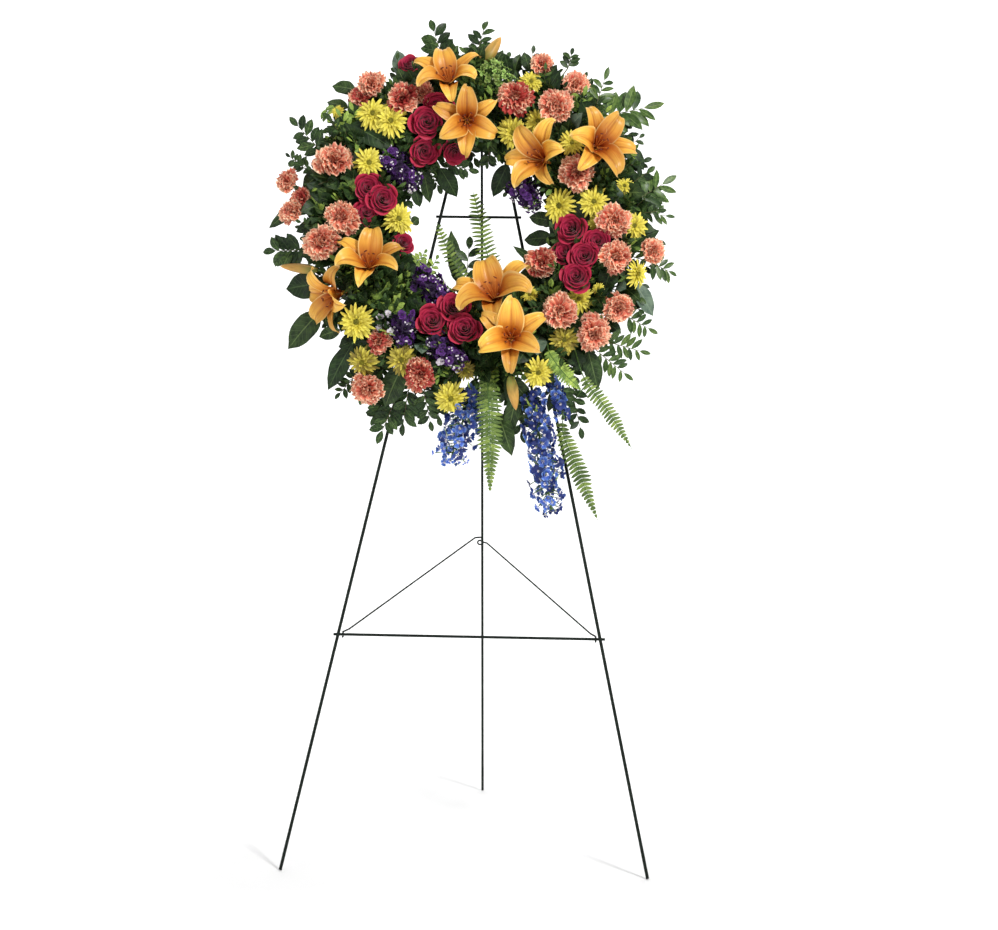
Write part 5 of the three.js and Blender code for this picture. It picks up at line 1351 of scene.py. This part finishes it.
def greens(index, name):
    """A bunch of greens: the leaves and sprigs that start in one sector, and shoots between."""
    node = "greens_" + name
    rng = random.Random(node)
    piece = Piece(node + "_leaves", "broad_leaf", "grey_leaf", "small_leaf", "light_leaf",
                  "lily_leaf", "stem_green", "stem_woody")
    middle = index * SECTOR
    for kind, base_px, tip_px, half, base_lift, tip_lift, *pairs in LEAVES:
        base, tip = place(base_px, base_lift), place(tip_px, tip_lift)
        angle = math.atan2(base[1], base[0])
        turn = math.atan2(math.sin(angle - middle), math.cos(angle - middle))
        if not -SECTOR / 2 <= turn < SECTOR / 2:
            continue
        # The stalk comes out of the foam within the sector, and runs low under the blooms
        past = math.hypot(base[0], base[1]) - RING_R
        side = 1 if past > 0 else -1
        a = middle + min(max(turn, -SECTOR / 2 + 0.05), SECTOR / 2 - 0.05)
        via = [polar(RING_R, a, FOAM_TOP + 1), polar(RING_R + side * FOOT_OFFSET, a, FOAM_TOP + 6)]
        if abs(past) > 62:
            via.append(polar(RING_R + side * 46, a + 0.3 * (middle + turn - a), FOAM_TOP + 6))
        stalk = smooth(via + [base], 20)
        crown = (base + tip) / 2 + vec(0, 0, 0.1 * float(np.linalg.norm(tip - base)))
        up = facing(crown)
        if kind in ("leaf", "grey"):
            piece.tube(stalk, 1.2, "stem_green", 0.4)
            looks = "grey_leaf" if kind == "grey" else "broad_leaf"
            broad_leaf(piece, [base, crown, tip], half * 1.04, up, looks, rng)
            continue
        leaf, looks, wide, stem = 1.95 * half, "small_leaf", 0.24, "stem_woody"
        end = tip - unit(tip - crown) * leaf * 0.55
        if kind == "light":
            looks, stem = "light_leaf", "stem_green"
        elif base_px[0] > 590:
            # On the ring's right the sprigs are willowy, and smaller low down
            looks, wide = "lily_leaf", 0.18
            leaf *= 1.12 if base_px[1] < 240 else 0.92
        piece.tube(stalk, 1.1, stem, 0.4)
        twig = [base, (base + end) / 2 + 0.1 * (crown - base), end]
        leafy_twig(piece, twig, leaf, pairs[0] + 1, up, rng, looks, 0.02, wide, stem)
    for count, make in ((150, fill_floor), (44, fill_leaf), (44, fill_twig), (44, fill_fringe)):
        fill(piece, rng, middle, count, make)
    # A thin twig along the sector, which all its stalks meet
    along = [polar(RING_R, middle + s * SECTOR, FOAM_TOP + 2.2)
             for s in np.linspace(-0.48, 0.48, 12)]
    piece.tube(along, 1.9, "stem_woody")
    piece.build(node)


for index, name in enumerate(SECTORS):
    greens(index, name)


# Foam ring and tray


def turned(piece, profile, segments, relief=0.0, seed=0, ribs=0):
    """A ring turned from a closed profile, with a rough surface or moulded ribs in its back."""
    r, z = np.array(profile, float).T[..., None]
    a = np.linspace(0, 2 * math.pi, segments + 1)
    wobble = relief * np.random.default_rng(seed).standard_normal((len(r), segments))
    wobble = np.concatenate([wobble, wobble[:, :1]], axis=1)
    height = z + wobble * 0.5
    if ribs:
        # Shallow pockets between radial ribs and one round rib
        flat = (r > INNER + 5) & (r < OUTER - 5) & (np.abs(z - TRAY_BACK) < 0.01)
        pocket = flat & (np.abs(r - RING_R) > 2.5)
        height = height + 1.35 * pocket * (np.abs((a * ribs / (2 * math.pi)) % 1 - 0.5) > 0.1)
    piece.grid(round_grid(r + wobble, a, height), piece.materials[0])


def rounded(corners, radius):
    """A closed outline with its corners rounded off, by four points each."""
    out = []
    for i in range(len(corners)):
        p, before, after = (np.array(corners[k % len(corners)], float) for k in (i, i - 1, i + 1))
        a, b = p + unit(before - p) * radius, p + unit(after - p) * radius
        out += [(1 - s) ** 2 * a + 2 * s * (1 - s) * p + s**2 * b for s in np.linspace(0, 1, 4)]
    return out + out[:1]


SHOULDER = FOAM_TOP - FOAM_CHAMFER
foam = Piece("foam_ring_soaked", "wet_foam")
profile = [(INNER, FOAM_FLOOR), (OUTER, FOAM_FLOOR), (OUTER, SHOULDER),
           (OUTER - FOAM_CHAMFER, FOAM_TOP), (INNER + FOAM_CHAMFER, FOAM_TOP), (INNER, SHOULDER)]
turned(foam, rounded(profile, 3.0), 160, 0.22, 5)
foam.build("foam_ring")

tray = Piece("foam_tray_moulded", "tray_plastic")
inside, outside = (INNER - GAP, OUTER + GAP), (INNER - GAP - TRAY_WALL, OUTER + GAP + TRAY_WALL)
profile = [(outside[0], TRAY_BACK), (outside[1], TRAY_BACK), (outside[1], TRAY_RIM),
           (inside[1], TRAY_RIM), (inside[1], TRAY_FLOOR), (inside[0], TRAY_FLOOR),
           (inside[0], TRAY_RIM), (outside[0], TRAY_RIM)]
outline = rounded(profile, 0.55)
back = [(r, TRAY_BACK) for r in (INNER + 4.5, INNER + 5.5, RING_R - 3, RING_R - 2, RING_R + 2,
                                 RING_R + 3, OUTER - 5.5, OUTER - 4.5)]
turned(tray, outline[:4] + back + outline[4:], 168, ribs=24)
tray.build("foam_tray")


# Easel


def wire(name, node, paths, radius, body="stand_and_wreath", world=True, sides=16, welds=()):
    """Bent or straight wires, and small beads of weld at the places given."""
    piece = Piece(name, "enamel_wire")
    for path in paths:
        piece.tube(path, radius, "enamel_wire", 0.5, sides)
    t = np.linspace(0, math.pi, 8)[:, None]
    ball = round_grid(np.sin(t), np.linspace(0, 2 * math.pi, 13), np.cos(t))
    for at in welds:
        piece.grid(at + ball * vec(3.4, 1.5, 3.4), "enamel_wire")
    piece.build(node, body, world)


for side, name in ((-1, "left"), (1, "right")):
    top = leg_point(LEG_TOP, side)
    foot = leg_point(0, side) + unit(top - leg_point(0, side)) * 0.4
    wire("front_leg_wire_" + name, "front_leg_" + name, [straight(foot, top, 60)], LEG_R)


def crossbar(name, node, height, radius):
    centre = behind_legs(height, LEG_R + GAP + radius)
    half = vec(leg_point(height, 1)[0] + 9, 0, 0)
    welds = [behind_legs(height, LEG_R + 0.2) + vec(leg_point(height, side)[0], 0, 0)
             for side in (-1, 1)]
    wire(name, node, [straight(centre - half, centre + half, 30)], radius, welds=welds)


crossbar("crossbar_wire_lower", "crossbar_lower", LOWER_BAR_HEIGHT, CROSSBAR_R)
crossbar("crossbar_wire_upper", "crossbar_upper", UPPER_BAR_HEIGHT, CROSSBAR_R)
crossbar("hinge_bar_wire", "hinge_bar", HINGE_HEIGHT, HINGE_R)

EYE_R = REAR_LEG_R + HINGE_R + 0.5
SLOPE = math.atan((REAR_FOOT_Y - HINGE_AXIS[1] - EYE_R) / HINGE_AXIS[2])
# Along the rear leg, down, and square to it, away from the flowers
DOWN = vec(0, math.sin(SLOPE), -math.cos(SLOPE))
BACK = vec(0, math.cos(SLOPE), math.sin(SLOPE))
REAR_LEG_TOP = HINGE_AXIS + BACK * EYE_R


def rear_leg():
    foot = REAR_LEG_TOP + DOWN * (REAR_LEG_TOP[2] / math.cos(SLOPE) - 0.6)
    eye = [HINGE_AXIS + EYE_R * (math.cos(a) * BACK - math.sin(a) * DOWN)
           for a in np.linspace(0, rad(330), 28)]
    path = np.vstack([straight(foot, REAR_LEG_TOP, 60), eye[1:]])
    wire("rear_leg_wire", "rear_leg", [path], REAR_LEG_R, "rear_leg")


rear_leg()


def brace():
    """One wire: a hook round the lower crossbar, an arm, a turn by the rear leg, an arm, a hook."""
    bar = behind_legs(LOWER_BAR_HEIGHT, LEG_R + GAP + CROSSBAR_R)
    hook_r = CROSSBAR_R + BRACE_R + 0.7
    hook_x = leg_point(LOWER_BAR_HEIGHT, 1)[0] - LEG_R - 5
    crest_y = REAR_LEG_TOP[1] + (REAR_LEG_TOP[2] - CREST_HEIGHT) * math.tan(SLOPE)
    crest = vec(0, crest_y, CREST_HEIGHT) + BACK * 5
    along = unit(crest - bar)
    over = vec(0, -along[2], along[1])

    def near_bar(x, s, lift):
        return bar + vec(x, 0, 0) + along * s + over * lift

    def hook(side):
        return [near_bar(side * hook_x, hook_r * math.cos(rad(a)), hook_r * math.sin(rad(a)))
                for a in range(-150, 61, 15)]

    def near_leg(x, behind, below):
        return crest + vec(x, 0, 0) + BACK * behind + DOWN * below

    turn_r, drop = 4.8, 11
    layer = 2 * BRACE_R + 0.5
    loop = []
    for a in range(0, 316, 15):
        behind = layer * min(1, max(0, (270 - a) / 180))
        across, below = turn_r * math.cos(rad(a)), turn_r * math.sin(rad(a))
        loop.append(near_leg(-turn_r + across, behind, drop + below))
    points = hook(-1) + [near_bar(-hook_x + 10, 16, 3), near_leg(-15, 0, 0.8),
                         near_leg(-10, 0.5, 0), near_leg(-4, 0.6 * layer, 0.2),
                         near_leg(0.4, layer, 3)]
    points += loop + [near_leg(3, 0, drop - 1), near_leg(9, 0, drop + 0.5),
                      near_bar(hook_x - 10, 16, 3)] + hook(1)[::-1]
    wire("brace_wire", "brace", [np.array(points)], BRACE_R, "brace", sides=12)


brace()


def hanging_hook():
    under = (INNER - GAP - TRAY_WALL) * math.cos(math.pi / 20)
    y = under - HOOK_R - GAP
    back = -(LEG_R + GAP + HOOK_R)
    reach = FOAM_TOP + HOOK_R + 3
    half = leg_point(RING_CENTRE[2] + y * math.cos(LEAN), 1)[0] + 4
    paths = [straight(vec(-half, y, back), vec(half, y, back), 12)]
    for x in (-14, 14):
        bends = ((0, back), (0, reach - 4), (3, reach), (16, reach))
        paths.append(smooth([vec(x, y + up, out) for up, out in bends], 24))
    wire("hanging_hook_wire", "hanging_hook", paths, HOOK_R, world=False, sides=12)


hanging_hook()


# Studio: a pale floor that curves up into the backdrop, and soft light


FEET = [(leg_point(0, side) - SHIFT) / 1000 for side in (-1, 1)] + [vec(0, cad_box[1][1], 0)]


def studio():
    """A pale paper sweep. It glows, a painted light that washes out the wreath's shadow on it, and
    glows less round the feet, whose soft shadows show.
    """
    f = Finish("studio_paper", 0.9)
    here = f.node("TexCoord", 3)
    near = None
    for foot in FEET:
        gap = f.node("VectorMath", 1, {0: here, 1: tuple(foot)}, operation="DISTANCE")
        near = gap if near is None else f.math("MINIMUM", near, gap)
    # Painted light: the glow is strong away from the feet and hides the wreath's soft shadow
    f.set(Base_Color=f.mix(f.grain(3.0), (0.82, 0.82, 0.82, 1), (0.86, 0.86, 0.86, 1)),
          Emission_Color=(1, 1, 1, 1),
          Emission_Strength=f.plus(0.05, f.scaled(f.step(near, 0.1, 0.4), 0.29)))
    profile = [(-6.0, 0.0), (3.2, 0.0)]
    for a in np.linspace(0, math.pi / 2, 14)[1:]:
        profile.append((3.2 + 1.6 * math.sin(a), 1.6 - 1.6 * math.cos(a)))
    profile.append((4.8, 7.0))
    points = np.array([[(x, y, z - 0.0006) for x in np.linspace(-9, 9, 12)] for y, z in profile])
    mesh = bpy.data.meshes.new("studio_floor")
    quads = quads_of(*points.shape[:2])
    mesh.from_pydata(points.reshape(-1, 3).tolist(), [], quads.tolist())
    mesh.polygons.foreach_set("use_smooth", np.ones(len(quads), bool))
    mesh.materials.append(f.material)
    floor = bpy.data.objects.new("studio_floor", mesh)
    bpy.context.collection.objects.link(floor)


def lamp(name, spot, target, size, power):
    data = bpy.data.lights.new(name, "AREA")
    data.shape = "DISK"
    data.size = size
    data.energy = power
    made = bpy.data.objects.new(name, data)
    bpy.context.collection.objects.link(made)
    made.location = spot
    made.rotation_euler = (Vector(target) - Vector(spot)).to_track_quat("-Z", "Y").to_euler()


studio()
lamp("key_light", (2.3, -2.9, 3.6), (0, -0.1, 1.0), 0.6, 140)
lamp("fill_light", (-3.0, -2.8, 2.0), (0, -0.1, 1.0), 2.2, 26)
lamp("backdrop_light", (0, 2.2, 4.6), (0, 4.6, 1.6), 3.5, 120)
world = bpy.data.worlds.new("studio")
bpy.context.scene.world = world
world.use_nodes = True
world.node_tree.nodes["Background"].inputs[0].default_value = (1, 1, 1, 1)
world.node_tree.nodes["Background"].inputs[1].default_value = 0.4
bpy.context.scene.view_settings.view_transform = "Standard"
